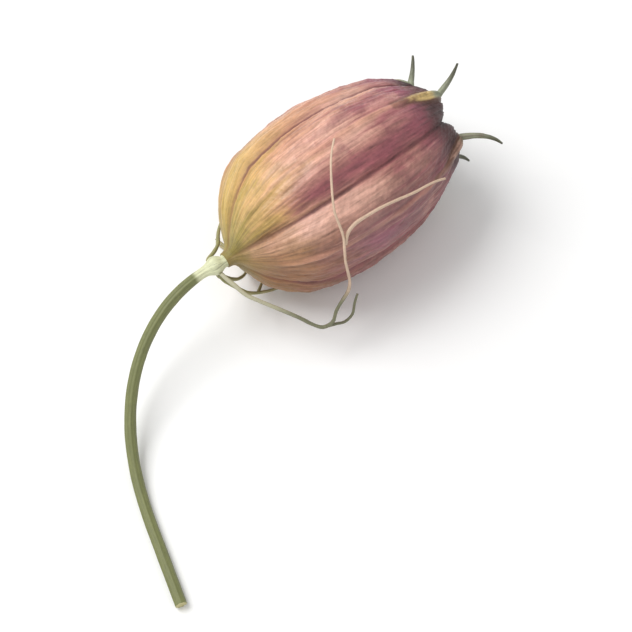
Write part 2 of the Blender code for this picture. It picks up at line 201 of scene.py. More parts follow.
class Graph:
    """A node tree that is written as sums: each call adds a node and gives back its result."""

    def __init__(self, tree: bpy.types.NodeTree) -> None:
        self.tree = tree

    def node(self, kind: str, inputs: dict | None = None, **settings) -> bpy.types.Node:
        """Adds a node.

        Args:
            kind: The node's type.
            inputs: Values or sockets for its inputs, by name or number.
            settings: Values for the node's own properties.

        Returns:
            The new node.
        """
        made = self.tree.nodes.new(kind)
        for name, value in settings.items():
            setattr(made, name, value)
        for key, value in (inputs or {}).items():
            self.feed(made.inputs[key], value)
        return made

    def first(self, kind: str, inputs: dict | None = None, **settings) -> Socket:
        """Adds a node in the same way, and gives its first output."""
        return self.node(kind, inputs, **settings).outputs[0]

    def feed(self, socket: Socket, value) -> None:
        """Links a socket's value to an input, or sets the input to a plain value."""
        if isinstance(value, bpy.types.NodeSocket):
            self.tree.links.new(value, socket)
        elif socket.type == "RGBA" and len(value) == 3:
            socket.default_value = (*value, 1.0)
        else:
            socket.default_value = value

    def sum(self, operation: str, *values: Number) -> Socket:
        """The result of one Math node."""
        return self.first("ShaderNodeMath", dict(enumerate(values)), operation=operation)

    def plus(self, *values: Number) -> Socket:
        """All the values added up."""
        return functools.reduce(lambda a, b: self.sum("ADD", a, b), values)

    def times(self, *values: Number) -> Socket:
        """All the values multiplied."""
        return functools.reduce(lambda a, b: self.sum("MULTIPLY", a, b), values)

    def less(self, a: Number, b: Number) -> Socket:
        """The first value less the second."""
        return self.sum("SUBTRACT", a, b)

    def vector(self, operation: str, *values) -> Socket:
        """The result of one Vector Math node."""
        made = self.node("ShaderNodeVectorMath", dict(enumerate(values)), operation=operation)
        return made.outputs["Value" if operation in ("LENGTH", "DOT_PRODUCT") else "Vector"]

    def scaled(self, value: Socket, factor: Number) -> Socket:
        """A vector made longer or shorter."""
        return self.first("ShaderNodeVectorMath", {0: value, "Scale": factor}, operation="SCALE")

    def joined(self, x: Number, y: Number, z: Number) -> Socket:
        """Three numbers as a vector."""
        return self.first("ShaderNodeCombineXYZ", {0: x, 1: y, 2: z})

    def parts(self, value: Socket) -> tuple[Socket, Socket, Socket]:
        """The three numbers of a vector."""
        return tuple(self.node("ShaderNodeSeparateXYZ", {0: value}).outputs)

    def ramp(self, value: Number, start: float, end: float) -> Socket:
        """0 up to start, 1 from end on, and a smooth step between; start may be the larger."""
        low, high = min(start, end), max(start, end)
        ends = (0.0, 1.0) if start < end else (1.0, 0.0)
        inputs = {"Value": value, 1: low, 2: high, 3: ends[0], 4: ends[1]}
        return self.first("ShaderNodeMapRange", inputs, interpolation_type="SMOOTHSTEP")

    def hump(self, value: Number, middle: Number, width: Number) -> Socket:
        """A bell curve: 1 where the value is at the middle, and near 0 two widths away."""
        off = self.sum("DIVIDE", self.less(value, middle), width)
        return self.sum("EXPONENT", self.times(off, off, -1.0))

    def noise(self, place: Socket, scale: Number, detail: float = 2.0,
              roughness: float = 0.5) -> Socket:
        """Noise from 0 to 1, with its middle at one half."""
        inputs = {"Vector": place, "Scale": scale, "Detail": detail, "Roughness": roughness}
        return self.first("ShaderNodeTexNoise", inputs)

    def attribute(self, name: str) -> Socket:
        """The number that a piece stores under a name, for a material."""
        return self.node("ShaderNodeAttribute", attribute_name=name).outputs["Fac"]

    def layers(self, colour: Socket, *coats: tuple[Number, Colour | Socket]) -> Socket:
        """A colour with others laid over it in order, each with its share."""
        for share, coat in coats:
            colour = self.blend(share, colour, coat)
        return colour

    def blend(self, share: Number, first, second) -> Socket:
        """A colour between two colours."""
        colours = {0: share, 6: first, 7: second}
        return self.node("ShaderNodeMix", colours, data_type="RGBA", clamp_factor=True).outputs[2]

    def mixed(self, share: Number, first: Number, second: Number) -> Socket:
        """A number between two numbers."""
        return self.first("ShaderNodeMix", {0: share, 2: first, 3: second}, clamp_factor=True)


class Recipe(Graph):
    """A Geometry Nodes tree with named inputs for its sizes."""

    def __init__(self, name: str) -> None:
        super().__init__(bpy.data.node_groups.new(name, "GeometryNodeTree"))
        self.tree.is_modifier = True
        self.tree.interface.new_socket(
            "Geometry", in_out="OUTPUT", socket_type="NodeSocketGeometry"
        )
        self.source = self.tree.nodes.new("NodeGroupInput")
        self.result = self.tree.nodes.new("NodeGroupOutput")

    def named(self, name: str, kind: str) -> Socket:
        """Adds a named input.

        Args:
            name: What the input sets.
            kind: Its type, such as Float, Int, Object or Material.

        Returns:
            The socket that gives its value inside the tree.
        """
        self.tree.interface.new_socket(name, in_out="INPUT", socket_type=f"NodeSocket{kind}")
        return self.source.outputs[name]

    def end(self, geometry: Socket) -> None:
        """Realizes the geometry, gives it the Material input and makes it the tree's result."""
        real = self.first("GeometryNodeRealizeInstances", {0: geometry})
        material = self.named("Material", "Material")
        dressed = self.first("GeometryNodeSetMaterial", {"Geometry": real, "Material": material})
        self.feed(self.result.inputs[0], dressed)

    def grown(self, name: str, sizes: dict) -> bpy.types.Object:
        """Runs the tree once.

        Args:
            name: The name of the new piece.
            sizes: The value of each named input.

        Returns:
            The result as a plain mesh object, at the origin and without a modifier.
        """
        piece = bpy.data.objects.new(name, bpy.data.meshes.new(name))
        bpy.context.scene.collection.objects.link(piece)
        modifier = piece.modifiers.new("recipe", "NODES")
        modifier.node_group = self.tree
        for item in self.tree.interface.items_tree:
            if item.in_out == "INPUT" and item.name in sizes:
                modifier[item.identifier] = sizes[item.name]
        take_result(piece)
        return piece


def take_result(piece: bpy.types.Object) -> None:
    """Puts the outcome of a piece's modifiers into its mesh, and removes the modifiers."""
    bpy.context.view_layer.update()
    evaluated = piece.evaluated_get(bpy.context.evaluated_depsgraph_get())
    data = bpy.data.meshes.new_from_object(evaluated)
    piece.modifiers.clear()
    piece.data = data
    data.name = piece.name


def closed(piece: bpy.types.Object, distance: float = MERGE_DISTANCE / 10) -> None:
    """Merges a piece's doubles, turns its faces outwards and shades it smooth."""
    mesh = bmesh.new()
    mesh.from_mesh(piece.data)
    bmesh.ops.remove_doubles(mesh, verts=mesh.verts, dist=distance)
    bmesh.ops.dissolve_degenerate(mesh, edges=mesh.edges, dist=distance)
    bmesh.ops.recalc_face_normals(mesh, faces=mesh.faces)
    open_edges = sum(1 for edge in mesh.edges if not edge.is_manifold)
    mesh.to_mesh(piece.data)
    mesh.free()
    piece.data.shade_smooth()
    if open_edges:
        LOG.warning("%s has %d open edges", piece.name, open_edges)


def fused(target: bpy.types.Object, others: Sequence[bpy.types.Object]) -> None:
    """Joins other closed pieces to the target as one skin, and removes them."""
    helpers = bpy.data.collections.new(target.name + "_joins")
    bpy.context.scene.collection.children.link(helpers)
    for other in others:
        bpy.context.scene.collection.objects.unlink(other)
        helpers.objects.link(other)
    modifier = target.modifiers.new("join", "BOOLEAN")
    modifier.operation = "UNION"
    modifier.operand_type = "COLLECTION"
    modifier.collection = helpers
    modifier.solver = "MANIFOLD"
    take_result(target)
    for other in others:
        bpy.data.objects.remove(other)
    bpy.data.collections.remove(helpers)


def smooth_point(points: Sequence, at: float) -> Vector:
    """The point at a place along a smooth line through points; place 0 is the first of them."""
    last = len(points) - 1
    i = min(int(at), last - 1)
    share = at - i
    before, a, b, after = (
        Vector(points[max(0, min(last, k))]) for k in (i - 1, i, i + 1, i + 2)
    )
    return 0.5 * (
        2 * a
        + (b - before) * share
        + (2 * before - 5 * a + 4 * b - after) * share**2
        + (3 * a - before - 3 * b + after) * share**3
    )


def around(angle: float) -> Vector:
    """The unit vector out from the axis; angle 0 is straight up and a quarter turn is +Y."""
    return Vector((0, math.sin(angle), math.cos(angle)))


def from_axis(along: float, out: float, angle: float) -> Vector:
    """A point given by its place along the axis, its distance from it and its turn round it."""
    return Vector((along, 0, AXIS_HEIGHT)) + around(angle) * out


def outline_point(outline: Sequence, at: float) -> tuple[float, float]:
    """The place along the axis and the distance from it, at a place on an outline."""
    share = smooth_point(outline, at)
    return share.x * CAPSULE_LENGTH, max(0.0, share.y) * CAPSULE_RADIUS


def grown_turn(angle: float) -> float:
    """The turn round the axis of what would be at an angle if the lobes were even."""
    off = math.remainder(angle - LEANING_LOBE * LOBE_TURN, math.tau)
    near = max(0.0, 1 - abs(off) / LOBE_TURN)
    return angle + LOBE_LEAN * math.sin(near * math.pi / 2) ** 2


def skin_point(along: float, out: float, angle: float) -> Vector:
    """A point of the grown capsule, from its place in an even one with a level crown."""
    turn = grown_turn(angle)
    near = (1 + math.cos(turn - SLANT_TURN)) / 2
    return from_axis(along - CROWN_SLANT * near * (along / CAPSULE_LENGTH) ** 3, out, turn)


def foot_of_capsule() -> Vector:
    """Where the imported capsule's axis meets its foot."""
    points = [vert.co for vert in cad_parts["capsule"].data.vertices]
    lowest = min(point.x for point in points)
    ring = [point for point in points if point.x < lowest + FOOT_SLACK]
    return sum(ring, Vector()) / len(ring)


def fine_line(points: Sequence[Vector], radii: Sequence[float],
              step: float) -> tuple[Line, list[float]]:
    """A smooth line through points in short steps.

    Args:
        points: The points that the line passes through.
        radii: The radius at each of them.
        step: The length of a step.

    Returns:
        The fine line's points and its radii.
    """
    line, widths = [Vector(points[0])], [radii[0]]
    last = len(points) - 1
    for i, (a, b) in enumerate(zip(points, points[1:])):
        count = max(1, round((b - a).length / step))
        for k in range(1, count + 1):
            share = k / count
            line.append(smooth_point(points, i + share) if i + share < last else Vector(b))
            widths.append(radii[i] + (radii[i + 1] - radii[i]) * share)
    return line, widths


def guide_curve(name: str, line: Sequence[Vector], radii: Sequence[float],
                shift: Vector) -> bpy.types.Object:
    """A curve object along a line, for a recipe to read; the caller removes it."""
    curve = bpy.data.curves.new(name, "CURVE")
    curve.dimensions = "3D"
    spline = curve.splines.new("POLY")
    spline.points.add(len(line) - 1)
    for target, point, radius in zip(spline.points, line, radii):
        target.co = (*(point + shift), 1)
        target.radius = radius
    guide = bpy.data.objects.new(name, curve)
    bpy.context.scene.collection.objects.link(guide)
    return guide


def stem_points() -> Line:
    """The stem's line: out along the capsule's axis, down to the surface and round to -Y."""
    start = from_axis(-JOINT_GAP, 0, 0)
    points = [start]
    step = STEM_LENGTH / STEM_STEPS
    for k in range(1, STEM_STEPS + 1):
        bent = min(1.0, k / STEM_STEPS / STEM_BEND_SHARE)
        ease = math.sin(bent * math.pi / 2) ** STEM_BEND_POWER
        turn = STEM_FIRST_TURN + (STEM_TURN - STEM_FIRST_TURN) * ease
        points.append(points[-1] + Vector((-math.cos(turn), -math.sin(turn), 0)) * step)
    for k, point in enumerate(points):
        fall = min(1.0, k / STEM_STEPS / STEM_DROP_SHARE)
        ease = fall * fall * (3 - 2 * fall)
        point.z = start.z + (STEM_RADIUS - start.z) * ease
    return points


def horn_points(lobe: int) -> Line:
    """The line of one horn: along the shoulder of its lobe, then free, outwards."""
    length, lean, curl, swing = HORNS[lobe]
    angle = LOBE_TURN * lobe
    turn = grown_turn(angle)
    points = []
    for k, at in enumerate(KEEL_PLACES):
        along, out = outline_point(MIDRIB_OUTLINE, at)
        sunk = KEEL_SUNK * (1 - k / (len(KEEL_PLACES) - 1))
        points.append(skin_point(along, out - sunk, angle))
    tangent = around(turn + math.pi / 2)
    for k in range(1, HORN_STEPS + 1):
        share = k / HORN_STEPS
        tilt = math.radians(lean + curl * share)
        aside = math.radians(swing) * share
        outwards = around(turn) * math.cos(aside) + tangent * math.sin(aside)
        heading = Vector((math.cos(tilt), 0, 0)) + outwards * math.sin(tilt)
        points.append(points[-1] + heading * length / HORN_STEPS)
    return points


class ThreadLines:
    """The middle lines of all the bracts' threads, the same as in the solids."""

    def __init__(self) -> None:
        draw = random.Random(BRACT_SEED)
        taken = [(point, STEM_RADIUS) for point in stem_points()]
        for lobe in range(LOBES):
            taken += [(point, KEEL_RADIUS) for point in horn_points(lobe)]
        self.held = {name: [self.middle_line(name)] for name in BRACT_LINES}
        for name, branches in BRANCHES.items():
            self.held[name] += [self.line_through(places) for places in branches]
        for name, own in self.held.items():
            others = [
                (point, THREAD_RADIUS)
                for other, lines in self.held.items()
                if other != name
                for line in lines
                for point in line
            ]
            if name in SIDE_THREADS:
                own += self.side_lines(own[0], SIDE_THREADS[name], draw, taken + others)

    @staticmethod
    @functools.cache
    def shoulder_line() -> list[tuple[float, float]]:
        """Points of the midrib's outline from the stem to the end of the lobe."""
        last = KEEL_PLACES[-1]
        return [
            outline_point(MIDRIB_OUTLINE, last * k / SHOULDER_SAMPLES)
            for k in range(SHOULDER_SAMPLES + 1)
        ]

    def least_out(self, along: float, gap: float) -> float:
        """The least distance from the axis, at a place along it, with a gap to the capsule."""
        least = 0.0
        for rib_along, rib_out in self.shoulder_line():
            shift = abs(rib_along - along)
            if shift < gap:
                least = max(least, rib_out + math.sqrt(gap**2 - shift**2))
        return least

    def kept_clear(self, point: Vector) -> Vector:
        """The point moved out of the capsule and up from the surface, where it is too close."""
        out = Vector((0, point.y, point.z - AXIS_HEIGHT))
        least = self.least_out(point.x, THREAD_RADIUS + CLEAR)
        if out.length < least:
            out *= least / max(out.length, 1e-6)
        lowest = THREAD_RADIUS - AXIS_HEIGHT
        if out.z < lowest:
            sideways = math.sqrt(max(0.0, least**2 - lowest**2))
            out = Vector((0, math.copysign(max(abs(out.y), sideways), out.y), lowest))
        return Vector((point.x, out.y, AXIS_HEIGHT + out.z))

    def side_thread(self, start: Vector, heading: Vector, length: float,
                    draw: random.Random) -> Line:
        """The line of one side thread: it leaves at a slant and wavers, clear of the capsule."""
        steps = max(3, round(length / THREAD_STEP))
        points = [start]
        bend = Vector([draw.uniform(-WAVER, WAVER) for _ in range(3)])
        for _ in range(steps):
            heading = (heading + bend).normalized()
            points.append(self.kept_clear(points[-1] + heading * length / steps))
        return points

    @staticmethod
    def is_free(points: Line, others: Iterable[tuple[Vector, float]]) -> bool:
        """True if the line keeps its distance from every line that other pieces hold."""
        return all(
            (point - other).length >= THREAD_RADIUS + radius + CLEAR
            for point in points[1:]
            for other, radius in others
        )

    def is_tucked(self, points: Line) -> bool:
        """True if the line stays behind the capsule, seen from the side of the first bract."""
        sideways = around(UNDERSIDE_TURN + math.pi / 2)
        for point in points:
            reach = min(UNDERSIDE_WIDTH, self.least_out(point.x - UNDERSIDE_SHIFT, CLEAR))
            if abs((point - from_axis(0, 0, 0)).dot(sideways)) > reach:
                return False
        return True

    def line_through(self, places: Sequence[Place]) -> Line:
        """Even steps on a smooth line through places written as (along, out, turn)."""
        hand = [
            from_axis(along * MM, out * MM, math.radians(turn)) for along, out, turn in places
        ]
        count = LINE_SAMPLES * (len(hand) - 1)
        fine = [smooth_point(hand, k / LINE_SAMPLES) for k in range(count + 1)]
        points = [fine[0]]
        since = 0.0
        for a, b in zip(fine, fine[1:]):
            since += (b - a).length
            if since >= THREAD_STEP:
                points.append(self.kept_clear(b))
                since = 0.0
        return points

    def middle_line(self, name: str) -> Line:
        """The middle line of a bract, from its foot on the stem's head."""
        along, out = BRACT_FOOT
        return self.line_through(((along, out, BRACT_LINES[name][0][2]),) + BRACT_LINES[name])

    def side_lines(self, middle: Line, count: int, draw: random.Random, others: list) -> list[Line]:
        """Side threads to the left and right of a bract's middle line, and their forks."""
        lines = []
        first = int(len(middle) * SIDE_START)
        for k in range(count):
            share = k / (count - 1)
            place = first + int((len(middle) - 2 - first) * share)
            along = (middle[place + 1] - middle[place - 1]).normalized()
            out = middle[place] - from_axis(middle[place].x, 0, 0)
            side = along.cross(out).normalized() * (1 if k % 2 else -1)
            length = SIDE_LENGTHS[0] + (SIDE_LENGTHS[1] - SIDE_LENGTHS[0]) * share
            for _ in range(TRIES):
                slant = SIDE_SPREAD * draw.uniform(*SIDE_SLANTS)
                lift = out.normalized() * draw.uniform(*SIDE_LIFTS)
                heading = (along * math.cos(slant) + side * math.sin(slant) + lift).normalized()
                reach = length * draw.uniform(*SIDE_REACHES)
                line = self.side_thread(middle[place], heading, reach, draw)
                if not (self.is_free(line, others) and self.is_tucked(line)):
                    continue
                lines.append(line)
                fork_at = len(line) // 2
                onward = (line[fork_at] - line[fork_at - 1]).normalized()
                swing = side.cross(onward) * draw.choice((-1, 1)) - side * FORK_RETURN
                fork = self.side_thread(
                    line[fork_at], (onward + swing).normalized(), FORK_LENGTH, draw
                )
                if self.is_free(fork, others) and self.is_tucked(fork):
                    lines.append(fork)
                break
        return lines

@dataclass(frozen=True)
class Grain:
    """Even noise over a surface."""

    scale: float
    detail: float = 2.0
    roughness: float = 0.5

    def over(self, g: Graph, place: Socket) -> Socket:
        """The noise at a place, with its middle at 0 and its ends near a half."""
        return g.less(g.noise(place, self.scale, self.detail, self.roughness), 0.5)


@dataclass(frozen=True)
class Streaks:
    """Noise that is drawn out along the capsule: its steps along it and its scale round it."""

    steps: float
    scale: float
    shift: float = 0.0
    detail: float = 3.0
    roughness: float = 0.5

    def over(self, g: Graph, place: Socket, radial: Socket) -> Socket:
        """The noise at a place along the axis and a turn round it, from 0 to 1."""
        _, y, z = g.parts(g.scaled(radial, self.scale))
        along = g.plus(g.times(place, self.steps), self.shift)
        return g.noise(g.joined(along, y, z), 1.0, self.detail, self.roughness)


@dataclass(frozen=True)
class VeinPattern:
    """How the cross veins of a lobe lie: they leave the midrib and arch towards the crown."""

    spacing: float = 0.85 * MM
    arch: float = 4.6 * MM
    arch_power: float = 1.2
    waver: float = 2.4 * MM
    waver_scale: float = 330.0
    sharpness: float = 4.0


def lean_field(g: Graph, angle: Socket) -> Socket:
    """How far the leaning lobe moves what is at an angle; see grown_turn."""
    off = g.sum("WRAP", g.less(angle, LEANING_LOBE * LOBE_TURN), math.pi, -math.pi)
    near = g.sum("MAXIMUM", g.less(1.0, g.times(g.sum("ABSOLUTE", off), 1 / LOBE_TURN)), 0.0)
    swing = g.sum("SINE", g.times(near, math.pi / 2))
    return g.times(swing, swing, LOBE_LEAN)


@dataclass(frozen=True)
class PodMarks:
    """Fields over the capsule's skin, for a recipe or for a material.

    Each is a socket: along is the distance from the foot, place its share of the length,
    across is 0 on a midrib and 1 in a furrow, from_rib and from_furrow are distances on the
    skin, out is the distance from the axis, radial the unit vector out from it, vein is 1
    on a cross vein, and pleats is noise drawn out along the axis.
    """

    PLEATS: ClassVar[Streaks] = Streaks(11.0 / CAPSULE_LENGTH, 26.0, roughness=0.55)

    along: Socket
    place: Socket
    across: Socket
    out: Socket
    from_rib: Socket
    from_furrow: Socket
    radial: Socket
    vein: Socket
    pleats: Socket

    @classmethod
    def over(cls, g: Graph, position: Socket, foot: Vector, veins: VeinPattern) -> "PodMarks":
        """Works the fields out.

        Args:
            g: The node tree that they are for.
            position: A point of the skin.
            foot: Where the axis meets the capsule's foot.
            veins: How the cross veins lie.

        Returns:
            The fields.
        """
        x, y, z = g.parts(g.vector("SUBTRACT", position, foot))
        turn = g.sum("ARCTAN2", y, z)
        even = g.less(turn, lean_field(g, g.less(turn, lean_field(g, turn))))
        signed = g.times(g.sum("WRAP", g.times(even, 1 / LOBE_TURN), 0.5, -0.5), 2.0)
        across = g.sum("ABSOLUTE", signed)
        out = g.sum("SQRT", g.plus(g.times(y, y), g.times(z, z)))
        half = g.times(out, LOBE_TURN / 2)
        radial = g.vector("NORMALIZE", g.joined(0.0, y, z))
        shift = g.times(Grain(veins.waver_scale, 1.0).over(g, position), veins.waver)
        arch = g.times(g.sum("POWER", across, veins.arch_power), -veins.arch)
        phase = g.times(g.plus(x, arch, shift), math.tau / veins.spacing)
        wave = g.plus(g.times(g.sum("COSINE", phase), 0.5), 0.5)
        return cls(
            along=x,
            place=g.times(x, 1 / CAPSULE_LENGTH),
            across=across,
            out=out,
            from_rib=g.times(across, half),
            from_furrow=g.times(g.less(1.0, across), half),
            radial=radial,
            vein=g.sum("POWER", wave, veins.sharpness),
            pleats=cls.PLEATS.over(g, x, radial),
        )


def new_material(name: str) -> tuple[bpy.types.Material, Graph, bpy.types.Node]:
    """A material with a Principled shader, and its tree as a graph."""
    made = bpy.data.materials.new(name)
    made.use_nodes = True
    return made, Graph(made.node_tree), made.node_tree.nodes["Principled BSDF"]


@dataclass(frozen=True)
class Bump:
    """Fine bumps that only the shading shows."""

    strength: float
    depth: float


def dress(g: Graph, shader: bpy.types.Node, colour: Socket, lightness: Socket,
          roughness: Socket, height: Socket, bump: Bump) -> None:
    """Feeds a shader with its colour in an uneven lightness, its roughness and its bumps."""
    toned = g.first("ShaderNodeHueSaturation", {"Value": lightness, "Color": colour})
    bumps = {"Strength": bump.strength, "Distance": bump.depth, "Height": height}
    normal = g.first("ShaderNodeBump", bumps)
    for name, value in (("Base Color", toned), ("Roughness", roughness), ("Normal", normal)):
        g.feed(shader.inputs[name], value)


@dataclass(frozen=True)
class Change:
    """A colour that turns into another along a ramp."""

    first: Colour
    second: Colour
    ramp: Ramp


@dataclass(frozen=True)
class Layer:
    """A colour laid over the ones before it.

    Its share is its strength, times a ramp for each entry of ramps (a field, where it is 0
    and where it is 1), a bell curve for each of humps (a field, its middle and width), each
    field of by, and 1 on a strip of skin (the turn round the axis in degrees, the width).
    """

    strength: float
    colour: Colour | Change
    ramps: tuple[Ramp, ...] = ()
    humps: tuple[Ramp, ...] = ()
    by: tuple[str, ...] = ()
    strip: Span | None = None


def soft_patch(turn: float, width: float, height: float, span: float, strength: float,
               colour: Colour) -> Layer:
    """A soft patch of another colour, at a turn round the axis and a height."""
    return Layer(strength, colour, humps=(("height", height, span),), strip=(turn, width))


@dataclass(frozen=True)
class SkinFields:
    """What the capsule's colours follow: sockets by name, among them all the PodMarks."""

    GRAINS: ClassVar[dict[str, Grain]] = {
        "cloud": Grain(130.0, 3.0),
        "patch": Grain(420.0, 4.0, 0.6),
        "blotch": Grain(260.0, 5.0, 0.65),
        "grain": Grain(2600.0, 3.0, 0.6),
    }
    STREAKS: ClassVar[dict[str, Streaks]] = {
        "broad": Streaks(2.6, 7.0),
        "streak": Streaks(3.4, 11.0, 7.0),
        "thin": Streaks(5.0, 30.0, 0.0, 4.0, 0.6),
    }
    TURNS: ClassVar[dict[str, float]] = {"olive": 40, "shaded": -113, "dark": -45, "pink": -64}
    # New field: the field that it starts from, and shares of others that are added
    SUMS: ClassVar[dict[str, tuple[str, Mix]]] = {
        "height": ("place", (("cloud", 0.35), ("broad", 0.34), ("patch", 0.12))),
        "uneven": ("none", (("broad", 0.5), ("patch", 0.30), ("grain", 0.1))),
        "order": ("place", (("cloud", 0.15), ("patch", 0.12))),
        "shade": ("shaded", (("cloud", 0.8),)),
        "furrow": ("across", (("uneven", 1.0),)),
        "base": ("place", (("patch", 0.08),)),
        "crease": ("from_furrow", (("patch", 0.4 * MM),)),
        "gap": ("keel_gap", (("patch", 0.35),)),
        "shaft": ("horn", (("patch", 0.2),)),
    }
    STRIP_SHIFT: ClassVar[float] = 0.16
    STRIP_FACING: ClassVar[Span] = (0.2, 0.6)

    g: Graph
    value: dict[str, Number]

    @classmethod
    def over(cls, g: Graph, position: Socket, foot: Vector, veins: VeinPattern) -> "SkinFields":
        """Works the fields out; the arguments are those of PodMarks.over."""
        marks = PodMarks.over(g, position, foot, veins)
        made = cls(g, {"none": 0.0, **vars(marks)})
        value = made.value
        for name, grain in cls.GRAINS.items():
            value[name] = grain.over(g, position)
        for name, streaks in cls.STREAKS.items():
            value[name] = streaks.over(g, marks.place, marks.radial)
        for name in ("broad", "pleats"):
            value[name] = g.less(value[name], 0.5)
        for name in ("keel_gap", "horn", "begun"):
            value[name] = g.attribute(name)
        for name, turn in cls.TURNS.items():
            value[name] = made.facing(turn)
        for name, (start, mix) in cls.SUMS.items():
            value[name] = made.mixed(value[start], mix)
        return made

    def mixed(self, value: Number, mix: Mix) -> Socket:
        """A value with shares of other fields added to it."""
        return self.g.plus(value, *(self.g.times(self.value[name], share) for name, share in mix))

    def facing(self, turn: float) -> Socket:
        """1 where the skin faces a turn round the axis, in degrees, and -1 on the far side."""
        towards = tuple(around(math.radians(turn)))
        return self.g.vector("DOT_PRODUCT", self.value["radial"], towards)

    def strip(self, turn: float, width: float) -> Socket:
        """1 on the strip of skin at a turn round the axis, and 0 beside it."""
        shift = self.g.times(self.value["uneven"], self.STRIP_SHIFT)
        strip = self.g.hump(self.g.plus(self.facing(turn + 90), shift), 0.0, width)
        return self.g.times(strip, self.g.ramp(self.facing(turn), *self.STRIP_FACING))

    def ramp(self, name: str, start: float, end: float) -> Socket:
        """A smooth step along a field."""
        return self.g.ramp(self.value[name], start, end)

    def tone(self, colour: Colour | Change) -> Colour | Socket:
        """A plain colour as it is, or a changing one worked out."""
        if isinstance(colour, Change):
            return self.g.blend(self.ramp(*colour.ramp), colour.first, colour.second)
        return colour

    def painted(self, colour: Colour | Change | Socket, layers: Iterable[Layer]) -> Socket:
        """A colour under layers, which are laid on in order."""
        colour = self.tone(colour)
        for layer in layers:
            shares = [self.strip(*layer.strip)] if layer.strip else []
            shares += [self.value[name] for name in layer.by]
            shares += [self.g.hump(self.value[name], *bell) for name, *bell in layer.humps]
            shares += [self.ramp(*entry) for entry in layer.ramps]
            share = self.g.times(*shares, layer.strength)
            colour = self.g.blend(share, colour, self.tone(layer.colour))
        return colour


